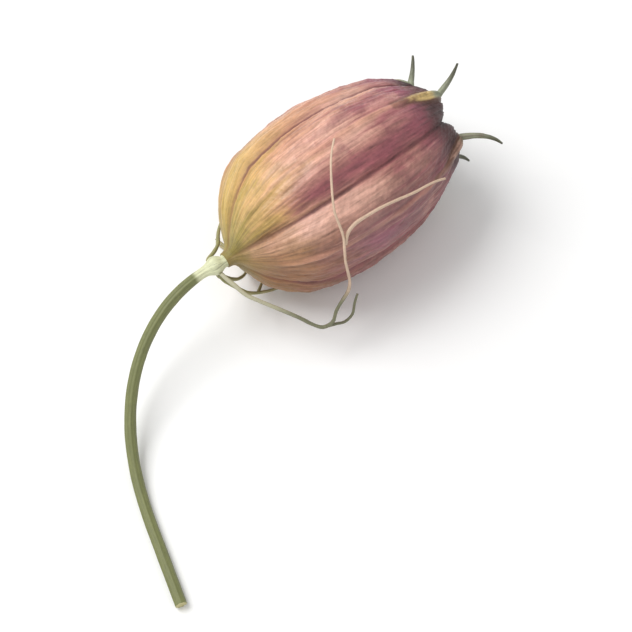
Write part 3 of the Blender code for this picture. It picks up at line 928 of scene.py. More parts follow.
@dataclass(frozen=True)
class CapsuleFinish:
    """Thin dry skin: olive gold at the foot, tan and pink, then burgundy at the crown.

    Height is a share of the capsule's length that noise makes uneven; gaps to a horn's line
    are in its radii, and the horn's own places are shares of its length.
    """

    BLUSH: ClassVar[Colour] = linear(214, 166, 148)
    HIGH: ClassVar[Colour] = linear(150, 88, 104)
    MAUVE: ClassVar[Colour] = linear(142, 76, 86)
    BLOT: ClassVar[Colour] = linear(120, 62, 70)
    FURROW: ClassVar[Colour] = linear(134, 72, 76)
    KEEL_EDGE: ClassVar[Colour] = linear(98, 64, 40)
    PALE_PINK: ClassVar[Colour] = linear(230, 182, 162)

    FOOT: ClassVar[Change] = Change(
        linear(154, 112, 74), linear(162, 144, 62), ("olive", 0.15, 0.75)
    )
    GROUND: ClassVar[dict[str, Layer]] = {
        "low": Layer(1.0, linear(200, 160, 92), (("height", 0.05, 0.22),)),
        "middle": Layer(1.0, linear(204, 148, 118), (("height", 0.16, 0.42),)),
        "blush": Layer(0.95, BLUSH, humps=(("across", 0.22, 0.34), ("height", 0.50, 0.30))),
        "high": Layer(1.0, HIGH, (("height", 0.58, 0.90),)),
        "shade": Layer(
            0.84,
            Change(linear(130, 88, 62), linear(118, 76, 78), ("order", 0.12, 0.50)),
            (("shade", -0.30, 0.70), ("height", -0.05, 0.25)),
        ),
        "clouds": Layer(0.55, MAUVE, (("streak", 0.50, 0.68), ("height", 0.22, 0.60))),
        "blots": Layer(0.50, BLOT, (("blotch", 0.03, 0.15), ("height", 0.25, 0.60))),
        "bright spots": Layer(0.35, BLUSH, (("blotch", -0.03, -0.15), ("height", 0.15, 0.40))),
        "dark streaks": Layer(0.45, FURROW, (("thin", 0.50, 0.34), ("height", 0.1, 0.5))),
        "pale streaks": Layer(0.34, BLUSH, (("thin", 0.55, 0.72),)),
        "veins": Layer(
            0.14,
            linear(128, 68, 72),
            (("from_rib", 0.2 * MM, 1.4 * MM), ("height", 0.15, 0.5), ("patch", -0.10, 0.2)),
            by=("vein",),
        ),
        "furrow": Layer(
            0.62,
            Change(linear(150, 104, 66), FURROW, ("height", 0.08, 0.30)),
            (("furrow", 0.62, 1.0),),
        ),
    }
    PATCHES: ClassVar[tuple[Layer, ...]] = (
        soft_patch(-40, 0.17, 0.32, 0.24, 0.95, PALE_PINK),
        soft_patch(36, 0.17, 0.66, 0.18, 0.80, PALE_PINK),
        soft_patch(-76, 0.22, 0.42, 0.17, 0.60, linear(144, 82, 104)),
        soft_patch(12, 0.10, 0.66, 0.10, 0.45, linear(138, 74, 92)),
        soft_patch(-88, 0.34, 0.20, 0.13, 0.55, linear(150, 96, 74)),
    )
    UPPER: ClassVar[dict[str, Layer]] = {
        "flush": Layer(0.88, MAUVE, (("height", 0.16, 0.42),), strip=(-22, 0.17)),
        "lit side": Layer(
            0.75, linear(206, 172, 100), humps=(("place", 0.20, 0.24),), strip=(52, 0.34)
        ),
        "rim": Layer(
            0.80,
            Change(linear(146, 112, 66), HIGH, ("height", 0.25, 0.65)),
            (("height", 0.02, 0.30),),
            strip=(76, 0.20),
        ),
        "base": Layer(0.80, linear(138, 124, 62), (("base", 0.13, 0.01),)),
        "crease": Layer(
            0.72, linear(98, 50, 54), (("crease", 0.46 * MM, 0.06 * MM), ("height", -0.05, 0.25))
        ),
        "rib": Layer(
            0.40,
            linear(206, 152, 128),
            (("from_rib", 0.50 * MM, 0.08 * MM), ("along", 2 * MM, 7 * MM)),
        ),
        "crown": Layer(1.0, linear(66, 38, 38), by=("crown",)),
        "keel edge": Layer(0.72, KEEL_EDGE, (("gap", 3.0, 1.5),)),
    }
    KEEL: ClassVar[Change] = Change(
        linear(214, 184, 120), linear(198, 156, 138), ("pink", 0.80, 0.92)
    )
    HORN: ClassVar[dict[str, Layer]] = {
        "blots": Layer(0.55, KEEL_EDGE, (("blotch", 0.0, 0.14),)),
        "shaft": Layer(1.0, linear(146, 150, 126), (("shaft", 0.02, 0.25),)),
        "tip": Layer(1.0, linear(80, 80, 62), (("horn", 0.40, 0.90),)),
    }
    horn_ramps: tuple[Ramp, Ramp] = (("gap", 1.70, 1.05), ("begun", 0.08, 0.26))

    inside: tuple[Ramp, Ramp] = (("place", 0.80, 0.93), ("out", 8.4 * MM, 5.8 * MM))
    darker: Ramp = ("dark", 0.30, 0.85)
    edge_mix: Mix = (("patch", 0.06), ("darker", 0.035))
    edge: Span = (0.84, 0.96)
    edge_strength: float = 0.70
    darker_strength: float = 0.25

    lightness: Mix = (("pleats", 1.3), ("blotch", 0.25), ("grain", 0.40), ("patch", 0.55))
    roughness: float = 0.44
    roughness_mix: Mix = (("patch", 0.25), ("band", 0.12))
    wrinkle: Mix = (("thin", 0.8), ("grain", 0.6), ("vein", 0.2))
    bump: Bump = Bump(0.55, 0.09 * MM)

    def crown(self, g: Graph, f: SkinFields) -> Socket:
        """How much of the dark crown shows: all inside it, and most along its uneven edge."""
        place, out = (f.ramp(*entry) for entry in self.inside)
        darker = f.value["darker"] = f.ramp(*self.darker)
        edge = g.ramp(f.mixed(f.value["place"], self.edge_mix), *self.edge)
        share = g.plus(self.edge_strength, g.times(darker, self.darker_strength))
        return g.sum("MAXIMUM", g.times(place, out), g.times(edge, share))

    def material(self, foot: Vector, veins: VeinPattern) -> bpy.types.Material:
        """Builds the material.

        Args:
            foot: Where the axis meets the capsule's foot.
            veins: The pattern of the cross veins, the same as in the relief.

        Returns:
            The material.
        """
        made, g, shader = new_material("capsule skin")
        f = SkinFields.over(g, g.node("ShaderNodeTexCoord").outputs["Object"], foot, veins)
        f.value["crown"] = self.crown(g, f)
        f.value["band"] = f.ramp(*self.GROUND["furrow"].ramps[0])
        layers = (*self.GROUND.values(), *self.PATCHES, *self.UPPER.values())
        colour = f.painted(self.FOOT, layers)
        horned = g.times(*(f.ramp(*entry) for entry in self.horn_ramps))
        colour = g.blend(horned, colour, f.painted(self.KEEL, self.HORN.values()))
        lightness = f.mixed(1.0, self.lightness)
        roughness = f.mixed(self.roughness, self.roughness_mix)
        dress(g, shader, colour, lightness, roughness, f.mixed(0.0, self.wrinkle), self.bump)
        return made


@dataclass(frozen=True)
class StalkFinish:
    """Dried green stalk: pale next to the pod, then olive, with long fibres."""

    name: str
    near: Colour
    far: Colour
    dark: Colour
    pith: Colour
    fade: Span
    slanting: bool = False
    slope: Place = (0.5, 0.0, 1.0)
    start: Colour | None = None
    cut: Colour = linear(196, 188, 136)
    cut_strength: float = 0.85
    start_fade: Span = (6.0 * MM, 12.0 * MM)
    uneven_fade: float = 0.5
    patch: Grain = Grain(500.0, 3.0, 0.6)
    grain: Grain = Grain(3000.0)
    fibre: float = 0.5
    fibre_detail: float = 4.0
    fibre_roughness: float = 0.65
    fibre_dark: Span = (0.48, 0.30)
    fibre_pith: Span = (0.55, 0.75)
    pith_share: float = 0.6
    mottling: float = 0.3
    roughness: float = 0.55
    uneven_roughness: float = 0.2
    grain_height: float = 0.4
    bump: Bump = Bump(0.3, 0.05 * MM)
    scale_along: float = 18.0
    scale_around: float = 5.0

    def material(self, foot: Vector) -> bpy.types.Material:
        """Builds the material; it reads the attributes reach, rim and cut of the piece.

        Args:
            foot: Where the axis meets the capsule's foot. If slanting, the colours fade with
                the way from it along the slope, and else with reach.

        Returns:
            The material.
        """
        made, g, shader = new_material(self.name)
        position = g.node("ShaderNodeTexCoord").outputs["Object"]
        reach = g.attribute("reach")
        rim = g.node("ShaderNodeAttribute", attribute_name="rim").outputs["Vector"]
        rim_x, rim_y, _ = (g.times(part, self.scale_around) for part in g.parts(rim))
        patch, grain = self.patch.over(g, position), self.grain.over(g, position)
        place = g.joined(rim_x, rim_y, g.times(reach, self.scale_along))
        fibre = g.noise(place, 1.0, self.fibre_detail, self.fibre_roughness)
        local = g.vector("SUBTRACT", position, foot)
        step = g.vector("DOT_PRODUCT", local, self.slope) if self.slanting else reach
        uneven = g.times(patch, self.uneven_fade * (self.fade[1] - self.fade[0]))
        away = g.vector("LENGTH", local)
        near = g.blend(g.ramp(away, *self.start_fade), self.start or self.near, self.near)
        pith = g.times(g.ramp(fibre, *self.fibre_pith), self.fibre * self.pith_share)
        colour = g.layers(
            near,
            (g.ramp(g.plus(step, uneven), *self.fade), self.far),
            (g.times(g.ramp(fibre, *self.fibre_dark), self.fibre), self.dark),
            (pith, self.pith),
            (g.times(g.attribute("cut"), self.cut_strength), self.cut),
        )
        mottled = g.plus(1.0, g.times(grain, self.mottling), g.times(patch, self.mottling))
        roughness = g.plus(self.roughness, g.times(patch, self.uneven_roughness))
        height = g.plus(fibre, g.times(grain, self.grain_height))
        dress(g, shader, colour, mottled, roughness, height, self.bump)
        return made


class Stalk(Enum):
    """The finishes of the pieces that are stalks or threads."""

    STEM = StalkFinish(
        name="stem olive",
        near=linear(214, 216, 178),
        far=linear(116, 120, 74),
        dark=linear(80, 82, 50),
        pith=linear(150, 148, 92),
        fade=(0.080, 0.098),
        fibre=0.55,
    )
    VISIBLE_THREAD = StalkFinish(
        name="thread straw",
        start=linear(184, 180, 152),
        near=linear(118, 118, 92),
        far=linear(206, 178, 154),
        dark=linear(92, 84, 62),
        pith=linear(226, 212, 190),
        fade=(1.5 * MM, 5.0 * MM),
        slanting=True,
        fibre=0.35,
    )
    THREAD = StalkFinish(
        name="thread olive",
        near=linear(146, 144, 96),
        far=linear(172, 160, 122),
        dark=linear(92, 84, 46),
        pith=linear(196, 188, 126),
        fade=(0.15, 0.9),
    )


@dataclass(frozen=True)
class Relief:
    """Heights and widths of the capsule's low relief, in metres; at is a middle's distance."""

    crease: float = 0.10 * MM
    crease_width: float = 0.30 * MM
    lip: float = 0.05 * MM
    lip_at: float = 0.85 * MM
    lip_width: float = 0.40 * MM
    rib: float = 0.13 * MM
    rib_width: float = 0.34 * MM
    nerve: float = 0.06 * MM
    nerve_width: float = 0.035
    nerves: tuple[float, ...] = (0.36, 0.68)
    nerve_waver: float = 0.14
    waver_grain: Grain = Grain(200.0)
    vein: float = 0.022 * MM
    vein_from_rib: Span = (0.2 * MM, 1.2 * MM)
    crumple: float = 0.75 * MM
    crumple_grain: Grain = Grain(150.0)
    fold: float = 0.45 * MM
    folds: Streaks = Streaks(2.4, 9.0, detail=2.0)
    pleat: float = 0.50 * MM
    wrinkle: float = 0.24 * MM
    wrinkle_grain: Grain = Grain(520.0, 3.0)
    keel: float = 0.20 * MM
    keel_width: float = 0.55 * MM
    keel_groove: float = 0.26 * MM
    groove_at: float = 1.10 * MM
    groove_width: float = 0.45 * MM
    furrow_softness: float = 0.14
    foot_along: Span = (0.4 * MM, 5.0 * MM)
    crown_out: Span = (1.5 * MM, 5.5 * MM)
    axis_out: Span = (0.1 * MM, 1.0 * MM)
    rest_softness: float = 0.15 * MM

    def height(self, r: Recipe, flat: Socket, m: PodMarks) -> Socket:
        """How far the relief lifts the skin.

        Args:
            r: The recipe that it is for.
            flat: A point of the skin.
            m: The fields over the skin.

        Returns:
            The height, which fades out at the foot and on the axis.
        """
        fade = r.ramp(m.along, *self.foot_along)
        crown = r.ramp(m.out, *self.crown_out)
        folds = self.folds.over(r, m.place, m.radial)
        parts = [
            r.times(r.less(m.pleats, 0.5), self.pleat, fade, crown),
            r.times(r.hump(m.from_furrow, 0.0, self.crease_width), -self.crease, fade),
            r.times(r.hump(m.from_furrow, self.lip_at, self.lip_width), self.lip, fade),
            r.times(r.hump(m.from_rib, 0.0, self.rib_width), self.rib, fade, crown),
            r.times(m.vein, self.vein, r.ramp(m.from_rib, *self.vein_from_rib), fade, crown),
            r.times(self.crumple_grain.over(r, flat), self.crumple, fade),
            r.times(r.less(folds, 0.5), self.fold, fade, crown),
            r.times(self.wrinkle_grain.over(r, flat), self.wrinkle),
        ]
        waver = r.times(self.waver_grain.over(r, flat), self.nerve_waver)
        for at in self.nerves:
            near = r.hump(r.plus(m.across, waver), at, self.nerve_width)
            parts.append(r.times(near, self.nerve, fade, crown))
        keel_start, keel_end = (outline_point(MIDRIB_OUTLINE, KEEL_PLACES[k])[0] for k in (0, 3))
        swell = r.times(r.hump(m.from_rib, 0.0, self.keel_width), self.keel)
        groove = r.hump(m.from_rib, self.groove_at, self.groove_width)
        keel = r.plus(swell, r.times(groove, -self.keel_groove))
        parts.append(r.times(keel, r.ramp(m.along, keel_start, keel_end), crown))
        return r.plus(*parts)


def pod_skin_recipe(foot: Vector, veins: VeinPattern, relief: Relief) -> Recipe:
    """A skin lofted round the axis between a midrib's outline and a furrow's, with relief.

    Args:
        foot: Where the axis meets the capsule's foot.
        veins: The pattern of the cross veins.
        relief: The heights and widths of the relief.

    Returns:
        The recipe. Its profiles are meshes with one vertex for each ring: along, out.
    """
    r = Recipe("pod skin")
    profiles = r.named("Midrib Profile", "Object"), r.named("Furrow Profile", "Object")
    rings, sides = r.named("Rings", "Int"), r.named("Faces Around", "Int")
    roundness = r.named("Lobe Roundness", "Float")
    amount = r.named("Relief Amount", "Float")
    counts = {0: 1.0, 1: 1.0, 2: r.plus(rings, 1), 3: r.plus(sides, 1)}
    grid = r.first("GeometryNodeMeshGrid", counts)
    flat = r.first("GeometryNodeInputPosition")
    x, y, _ = r.parts(flat)
    row = r.sum("ROUND", r.times(r.plus(x, 0.5), rings))
    even = r.times(r.plus(y, 0.5), math.tau)
    turn = r.plus(even, lean_field(r, even))

    def profile(source: Socket) -> tuple[Socket, Socket]:
        """Along and out of a profile, at the grid's row."""
        mesh = r.node("GeometryNodeObjectInfo", {"Object": source}).outputs["Geometry"]
        inputs = {"Geometry": mesh, "Index": row}
        vectors = {"data_type": "FLOAT_VECTOR", "clamp": True}
        sample = r.node("GeometryNodeSampleIndex", inputs, **vectors)
        r.feed(sample.inputs["Value"], flat)
        return r.parts(sample.outputs[0])[:2]

    (rib_along, rib_out), (furrow_along, furrow_out) = (profile(source) for source in profiles)
    cosine = r.sum("COSINE", r.times(even, LOBES / 2))
    wave = r.sum("SQRT", r.plus(r.times(cosine, cosine), relief.furrow_softness**2))
    wave = r.times(wave, 1 / math.sqrt(1 + relief.furrow_softness**2))
    lobe = r.sum("POWER", wave, roundness)
    along = r.mixed(lobe, furrow_along, rib_along)
    out = r.mixed(lobe, furrow_out, rib_out)
    near = r.plus(r.times(r.sum("COSINE", r.less(turn, SLANT_TURN)), 0.5), 0.5)
    near = r.mixed(r.ramp(out, *relief.axis_out), (1 + math.cos(SLANT_TURN)) / 2, near)
    share = r.sum("POWER", r.times(along, 1 / CAPSULE_LENGTH), 3.0)
    along = r.less(along, r.times(r.times(near, CROWN_SLANT), share))
    place = r.joined(along, r.times(out, r.sum("SINE", turn)), r.times(out, r.sum("COSINE", turn)))
    lofted = {0: grid, "Position": r.vector("ADD", place, foot)}
    skin = r.first("GeometryNodeSetPosition", lofted)
    skin = r.first("GeometryNodeMergeByDistance", {0: skin, "Distance": MERGE_DISTANCE})
    height = relief.height(r, flat, PodMarks.over(r, flat, foot, veins))
    offset = r.scaled(r.first("GeometryNodeInputNormal"), r.times(height, amount))
    skin = r.first("GeometryNodeSetPosition", {0: skin, "Offset": offset})
    px, py, pz = r.parts(flat)
    rested = r.joined(px, py, r.sum("SMOOTH_MAX", pz, 0.0, relief.rest_softness))
    r.end(r.first("GeometryNodeSetPosition", {0: skin, "Position": rested}))
    return r


def stalk_recipe() -> Recipe:
    """A tube along a guide curve, with low ridges along it and a little unevenness."""
    r = Recipe("stalk")
    guide, sides = r.named("Guide", "Object"), r.named("Sides", "Int")
    names = ("Ridges", "Ridge Height", "Unevenness", "Unevenness Scale")
    ridges, ridge_height, uneven, uneven_scale = (r.named(name, "Float") for name in names)
    curve = r.node("GeometryNodeObjectInfo", {"Object": guide}).outputs["Geometry"]
    share = r.node("GeometryNodeSplineParameter").outputs["Factor"]
    reach = {0: curve, "Name": "reach", "Value": share}
    curve = r.first("GeometryNodeStoreNamedAttribute", reach)
    circle = r.first("GeometryNodeCurvePrimitiveCircle", {"Resolution": sides, "Radius": 1.0})
    place = r.first("GeometryNodeInputPosition")
    vectors = {"data_type": "FLOAT_VECTOR"}
    circle = r.node("GeometryNodeStoreNamedAttribute", {0: circle, "Name": "rim"}, **vectors)
    r.feed(circle.inputs["Value"], place)
    radius = r.first("GeometryNodeInputRadius")
    swept = {0: curve, 1: circle.outputs[0], "Scale": radius, "Fill Caps": True}
    tube = r.first("GeometryNodeCurveToMesh", swept)
    rim_x, rim_y, _ = r.parts(r.first("GeometryNodeInputNamedAttribute", {0: "rim"}, **vectors))
    ridge = r.times(r.sum("COSINE", r.times(r.sum("ARCTAN2", rim_y, rim_x), ridges)), ridge_height)
    rough = r.times(r.less(r.noise(place, uneven_scale, 2.0), 0.5), uneven)
    offset = r.scaled(r.first("GeometryNodeInputNormal"), r.plus(ridge, rough))
    r.end(r.first("GeometryNodeSetPosition", {0: tube, "Offset": offset}))
    return r


@dataclass(frozen=True)
class StalkForm:
    """The surface of a stalk: the faces round it, its long ridges and its unevenness."""

    sides: int
    ridges: float
    ridge_height: float
    unevenness: float
    uneven_scale: float

    def tube(self, stalks: Recipe, name: str, line: Line, radii: Sequence[float], foot: Vector,
             material: bpy.types.Material) -> bpy.types.Object:
        """A closed tube.

        Args:
            stalks: The recipe for tubes.
            name: The name of the new piece.
            line: Its middle line, with the capsule's foot where the solids' source has it.
            radii: Its radius at each point of the line.
            foot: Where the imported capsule's foot is.
            material: Its finish.

        Returns:
            The piece.
        """
        guide = guide_curve(f"{name}_line", line, radii, foot - from_axis(0, 0, 0))
        sizes = {
            "Guide": guide,
            "Sides": self.sides,
            "Ridges": self.ridges,
            "Ridge Height": self.ridge_height,
            "Unevenness": self.unevenness,
            "Unevenness Scale": self.uneven_scale,
            "Material": material,
        }
        made = stalks.grown(name, sizes)
        bpy.data.objects.remove(guide)
        closed(made)
        return made


@dataclass
class Capsule:
    """The blown-up capsule with its five horns, as one skin."""

    foot: Vector
    rings: int = 250
    faces_around: int = 320
    outline_samples: int = 3000
    horn_step: float = 0.22 * MM
    horn_form: StalkForm = StalkForm(20, 5.0, 0.035 * MM, 0.10 * MM, 900.0)
    keel_radii: tuple[float, ...] = (0.26 * MM, 0.38 * MM, 0.46 * MM, 0.47 * MM, 0.42 * MM)
    shaft_radius: float = 0.29 * MM
    tip_radius: float = 0.11 * MM
    horns_start: float = 0.7
    far_gap: float = 4.0
    least_radius: float = 0.3 * MM
    keel_share: float = 0.42
    slim_keel: float = 1.3
    veins: VeinPattern = field(default_factory=VeinPattern)
    relief: Relief = field(default_factory=Relief)
    finish: CapsuleFinish = field(default_factory=CapsuleFinish)

    @staticmethod
    def profile(name: str, outline: Sequence, places: Sequence[float]) -> bpy.types.Object:
        """An outline as a mesh of loose vertices, one for each ring."""
        points = [(0.0, 0.0, 0.0)] + [(*outline_point(outline, at), 0.0) for at in places]
        data = bpy.data.meshes.new(name)
        data.from_pydata(points, [], [])
        made = bpy.data.objects.new(name, data)
        bpy.context.scene.collection.objects.link(made)
        return made

    def ring_places(self) -> list[float]:
        """Places on the midrib's outline that are the same distance apart along it."""
        fine = np.linspace(0, len(MIDRIB_OUTLINE) - 1, self.outline_samples)
        points = np.array([outline_point(MIDRIB_OUTLINE, at) for at in fine])
        reached = np.concatenate(([0], np.cumsum(np.linalg.norm(np.diff(points, axis=0), axis=1))))
        return list(np.interp(np.linspace(0, reached[-1], self.rings), reached, fine))

    def horn_lines(self) -> list[tuple[Line, list[float]]]:
        """The fine line and the radii of each horn, from its keel to its tip."""
        taper = []
        for k in range(1, HORN_STEPS + 1):
            share = 2 * k / HORN_STEPS
            start, end = self.keel_radii[-1], self.shaft_radius
            if share >= 1:
                start, end, share = self.shaft_radius, self.tip_radius, share - 1
            taper.append(start + (end - start) * share)
        radii = [*self.keel_radii, *taper]
        return [fine_line(horn_points(lobe), radii, self.horn_step) for lobe in range(LOBES)]

    def mark_horns(self, piece: bpy.types.Object,
                   lines: Sequence[tuple[Line, list[float]]]) -> None:
        """Stores the gap to the nearest horn's line, in its radii, and the place along it."""
        count = len(piece.data.vertices)
        places = np.zeros(count * 3, np.float32)
        piece.data.vertices.foreach_get("co", places)
        places = places.reshape(-1, 3)
        shift = np.array(self.foot - from_axis(0, 0, 0))
        gap, horn, begun = np.full(count, self.far_gap), np.zeros(count), np.zeros(count)
        near = np.flatnonzero(places[:, 0] > self.foot.x + self.horns_start * CAPSULE_LENGTH)
        for lobe, (line, radii) in enumerate(lines):
            slimness = self.slim_keel if lobe == LEANING_LOBE else 1.0
            points = np.array(line) + shift
            gaps = np.linalg.norm(places[near, None, :] - points[None, :, :], axis=2)
            gaps *= slimness / np.maximum(np.array(radii), self.least_radius)[None, :]
            best = gaps.argmin(axis=1)
            least = gaps[np.arange(len(near)), best]
            closer = least < gap[near]
            free = len(line) * self.keel_share
            share = np.clip((best - free) / (len(line) - 1 - free), 0, 1)
            horn[near] = np.where(closer, share, horn[near])
            begun[near] = np.where(closer, best / (len(line) - 1), begun[near])
            gap[near] = np.minimum(gap[near], least)
        for name, values in (("keel_gap", gap), ("horn", horn), ("begun", begun)):
            store = piece.data.attributes.new(name, "FLOAT", "POINT")
            store.data.foreach_set("value", values.astype(np.float32))

    def build(self, stalks: Recipe) -> bpy.types.Object:
        """Builds and dresses the capsule.

        Args:
            stalks: The recipe for tubes, which makes the horns.

        Returns:
            The piece.
        """
        material = self.finish.material(self.foot, self.veins)
        places = self.ring_places()
        midrib = self.profile("midrib_profile", MIDRIB_OUTLINE, places)
        furrow = self.profile("furrow_profile", FURROW_OUTLINE, places)
        sizes = {
            "Midrib Profile": midrib,
            "Furrow Profile": furrow,
            "Rings": self.rings,
            "Faces Around": self.faces_around,
            "Lobe Roundness": LOBE_ROUNDNESS,
            "Relief Amount": 1.0,
            "Material": material,
        }
        skin = pod_skin_recipe(self.foot, self.veins, self.relief).grown("capsule_skin", sizes)
        for helper in (midrib, furrow):
            bpy.data.objects.remove(helper)
        closed(skin, MERGE_DISTANCE)
        lines = self.horn_lines()
        horns = [
            self.horn_form.tube(stalks, f"horn_{k + 1}", line, radii, self.foot, material)
            for k, (line, radii) in enumerate(lines)
        ]
        fused(skin, horns)
        closed(skin)
        self.mark_horns(skin, lines)
        return skin


@dataclass
class Stem:
    """The cut stem, with the swelling at its top that bears the bracts and the capsule."""

    foot: Vector
    step: float = 0.28 * MM
    form: StalkForm = StalkForm(64, 9.0, 0.035 * MM, 0.08 * MM, 420.0)
    slimness: float = 0.90
    swell_at: float = 1.0 * MM
    swell_width: float = 0.9 * MM
    swell: float = 0.62 * MM
    neck_reach: float = 0.15 * MM
    neck_radius: float = 0.80 * MM
    sharp_angle: float = math.radians(50)

    def build(self, stalks: Recipe) -> bpy.types.Object:
        """Builds and dresses the stem; its cut ends are sharp, and marked for the finish."""
        change = STEM_RADIUS - STEM_TOP_RADIUS
        shares = (min(1, k / STEM_STEPS / STEM_TOP_SHARE) for k in range(STEM_STEPS + 1))
        radii = [STEM_TOP_RADIUS + change * share for share in shares]
        line, widths = fine_line(stem_points(), radii, self.step)
        reached = 0.0
        for k, point in enumerate(line):
            reached += (point - line[k - 1]).length if k else 0.0
            off = (reached - self.swell_at) / self.swell_width
            widths[k] = widths[k] * self.slimness + self.swell * math.exp(-off * off)
        line.insert(0, from_axis(self.neck_reach, 0, 0))
        widths.insert(0, self.neck_radius)
        material = Stalk.STEM.value.material(self.foot)
        stem = self.form.tube(stalks, "stem_stalk", line, widths, self.foot, material)
        stem.data.set_sharp_from_angle(angle=self.sharp_angle)
        cut = stem.data.attributes.new("cut", "FLOAT", "FACE")
        cut.data.foreach_set("value", [float(len(f.vertices) > 4) for f in stem.data.polygons])
        return stem


@dataclass
class Bracts:
    """The five bracts under the capsule, each one leaf cut into fused threads."""

    foot: Vector
    head: Span = (-1.35 * MM, 1.10 * MM)
    root_radius: float = 0.26 * MM
    tip_radius: float = 0.12 * MM
    side_root: float = 0.20 * MM
    taper_power: float = 0.8
    step: float = 0.4 * MM
    form: StalkForm = StalkForm(8, 2.0, 0.03 * MM, 0.10 * MM, 800.0)

    def thread_radii(self, count: int, first: bool) -> list[float]:
        """A slow taper from the root of a thread to its tip."""
        root = self.root_radius if first else self.side_root
        change = self.tip_radius - root
        return [root + change * (k / (count - 1)) ** self.taper_power for k in range(count)]

    def build(self, stalks: Recipe) -> dict[str, bpy.types.Object]:
        """Builds and dresses each bract, by the name of the solid that it replaces."""
        straw, olive = (
            stalk.value.material(self.foot) for stalk in (Stalk.VISIBLE_THREAD, Stalk.THREAD)
        )
        along, out = self.head
        made = {}
        for name, lines in ThreadLines().held.items():
            lines[0].insert(0, from_axis(along, out, math.radians(BRACT_LINES[name][0][2])))
            threads = []
            for k, points in enumerate(lines):
                line, radii = fine_line(points, self.thread_radii(len(points), k == 0), self.step)
                material = straw if name == VISIBLE_BRACT else olive
                title = f"{name}_thread_{k}"
                threads.append(self.form.tube(stalks, title, line, radii, self.foot, material))
            threads[0].name = name + "_threads"
            if len(threads) > 1:
                fused(threads[0], threads[1:])
            closed(threads[0])
            made[name] = threads[0]
        return made


@dataclass(frozen=True)
class Lamp:
    """A soft square lamp; side gives its shares to the right, up and back in the picture."""

    name: str
    side: Place
    distance: float
    power: float
    size: float


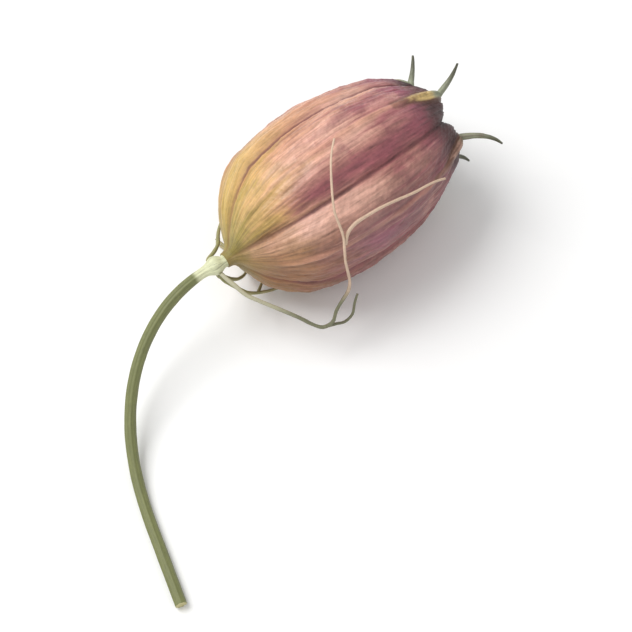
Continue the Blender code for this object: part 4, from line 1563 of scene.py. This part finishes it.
@dataclass
class Studio:
    """A pale floor, soft light and the camera at the photograph's viewing angle."""

    azimuth: float = -38.0
    elevation: float = 62.0
    lens: float = 90.0
    sensor: float = 36.0
    margin: float = 1.17
    floor_side: float = 6.0
    floor_colour: Colour = (0.95, 0.95, 0.945)
    world_strength: float = 0.60
    lamps: tuple[Lamp, ...] = (
        Lamp("key", (-0.75, 0.75, 0.9), 0.36, 0.98, 0.22),
        Lamp("fill", (0.9, -0.5, 0.8), 0.5, 0.22, 0.40),
    )
    floor_scale: float = 3.0
    floor_tones: Span = (0.2, 0.8)
    floor_darker: float = 0.985
    floor_roughness: float = 0.9
    clip: Span = (0.01, 20.0)

    def directions(self) -> tuple[Vector, Vector, Vector]:
        """Right and up in the picture, and from the object back to the camera."""
        a, e = math.radians(self.azimuth), math.radians(self.elevation)
        back = Vector((math.sin(a) * math.cos(e), -math.cos(a) * math.cos(e), math.sin(e)))
        right = Vector((math.cos(a), math.sin(a), 0))
        return right, back.cross(right), back

    def camera(self, pieces: Sequence[bpy.types.Object]) -> Vector:
        """Sets the camera up so that the pieces fill the picture.

        Args:
            pieces: What the picture has to show.

        Returns:
            The point that the camera looks at.
        """
        right, up, back = self.directions()
        points = [vert.co for piece in pieces for vert in piece.data.vertices]
        spans = []
        for direction in (right, up, back):
            reach = [point.dot(direction) for point in points]
            spans.append((min(reach), max(reach)))
        middle = sum(
            (d * (low + high) / 2 for d, (low, high) in zip((right, up, back), spans)), Vector()
        )
        half = max(high - low for low, high in spans[:2]) / 2
        data = bpy.data.cameras.new("camera")
        data.lens = self.lens
        data.sensor_width = self.sensor
        data.clip_start, data.clip_end = self.clip
        distance = half * self.margin * self.lens / (self.sensor / 2)
        seen = bpy.data.objects.new("camera", data)
        seen.location = middle + back * distance
        seen.rotation_euler = back.to_track_quat("Z", "Y").to_euler()
        bpy.context.scene.collection.objects.link(seen)
        bpy.context.scene.camera = seen
        return middle

    def light(self, lamp: Lamp, target: Vector) -> None:
        """Adds a lamp that faces a point."""
        right, up, back = (d * share for d, share in zip(self.directions(), lamp.side))
        data = bpy.data.lights.new(lamp.name, "AREA")
        data.energy = lamp.power
        data.size = lamp.size
        made = bpy.data.objects.new(lamp.name, data)
        made.location = target + (back + up + right).normalized() * lamp.distance
        made.rotation_euler = (made.location - target).to_track_quat("Z", "Y").to_euler()
        bpy.context.scene.collection.objects.link(made)

    def floor(self) -> None:
        """Adds the floor that the pod lies on."""
        half = self.floor_side / 2
        data = bpy.data.meshes.new("floor")
        corners = [(-half, -half, 0), (half, -half, 0), (half, half, 0), (-half, half, 0)]
        data.from_pydata(corners, [], [(0, 1, 2, 3)])
        floor = bpy.data.objects.new("floor", data)
        bpy.context.scene.collection.objects.link(floor)
        made, g, shader = new_material("floor")
        place = g.node("ShaderNodeTexCoord").outputs["Object"]
        tone = g.ramp(g.noise(place, self.floor_scale), *self.floor_tones)
        darker = tuple(value * self.floor_darker for value in self.floor_colour)
        g.feed(shader.inputs["Base Color"], g.blend(tone, darker, self.floor_colour))
        shader.inputs["Roughness"].default_value = self.floor_roughness
        data.materials.append(made)
        floor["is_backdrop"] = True

    def build(self, pieces: Sequence[bpy.types.Object]) -> None:
        """Sets up the floor, the camera and the lights round the pieces."""
        middle = self.camera(pieces)
        for lamp in self.lamps:
            self.light(lamp, middle)
        self.floor()
        world = bpy.data.worlds.new("studio")
        world.use_nodes = True
        sky = world.node_tree.nodes["Background"]
        sky.inputs["Color"].default_value = (1.0, 1.0, 1.0, 1.0)
        sky.inputs["Strength"].default_value = self.world_strength
        bpy.context.scene.world = world
        bpy.context.scene.view_settings.view_transform = "Standard"


def hand_over(piece: bpy.types.Object, node: str) -> None:
    """Ties a piece to the frame: its body, the solid that it replaces and its slot."""
    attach(piece, BODY)
    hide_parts(node)
    LOG.info("%s replaces %s: %d faces", piece.name, node, len(piece.data.polygons))


def main() -> None:
    """Builds each sub-assembly in order, ties it to the frame and writes the sizes."""
    logging.basicConfig(level=logging.INFO, format="%(name)s: %(message)s")
    foot = foot_of_capsule()
    stalks = stalk_recipe()
    capsule = Capsule(foot).build(stalks)
    stem = Stem(foot).build(stalks)
    bracts = Bracts(foot).build(stalks)
    hand_over(capsule, "capsule")
    hand_over(stem, "stem")
    for name, piece in bracts.items():
        hand_over(piece, name)
    Studio().build([capsule, stem, *bracts.values()])
    boxes = {"cad": CAD_BOX, "visual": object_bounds()}
    json.dumps({k: [list(c) for c in box] for k, box in boxes.items()})


if __name__ == "__main__":
    main()
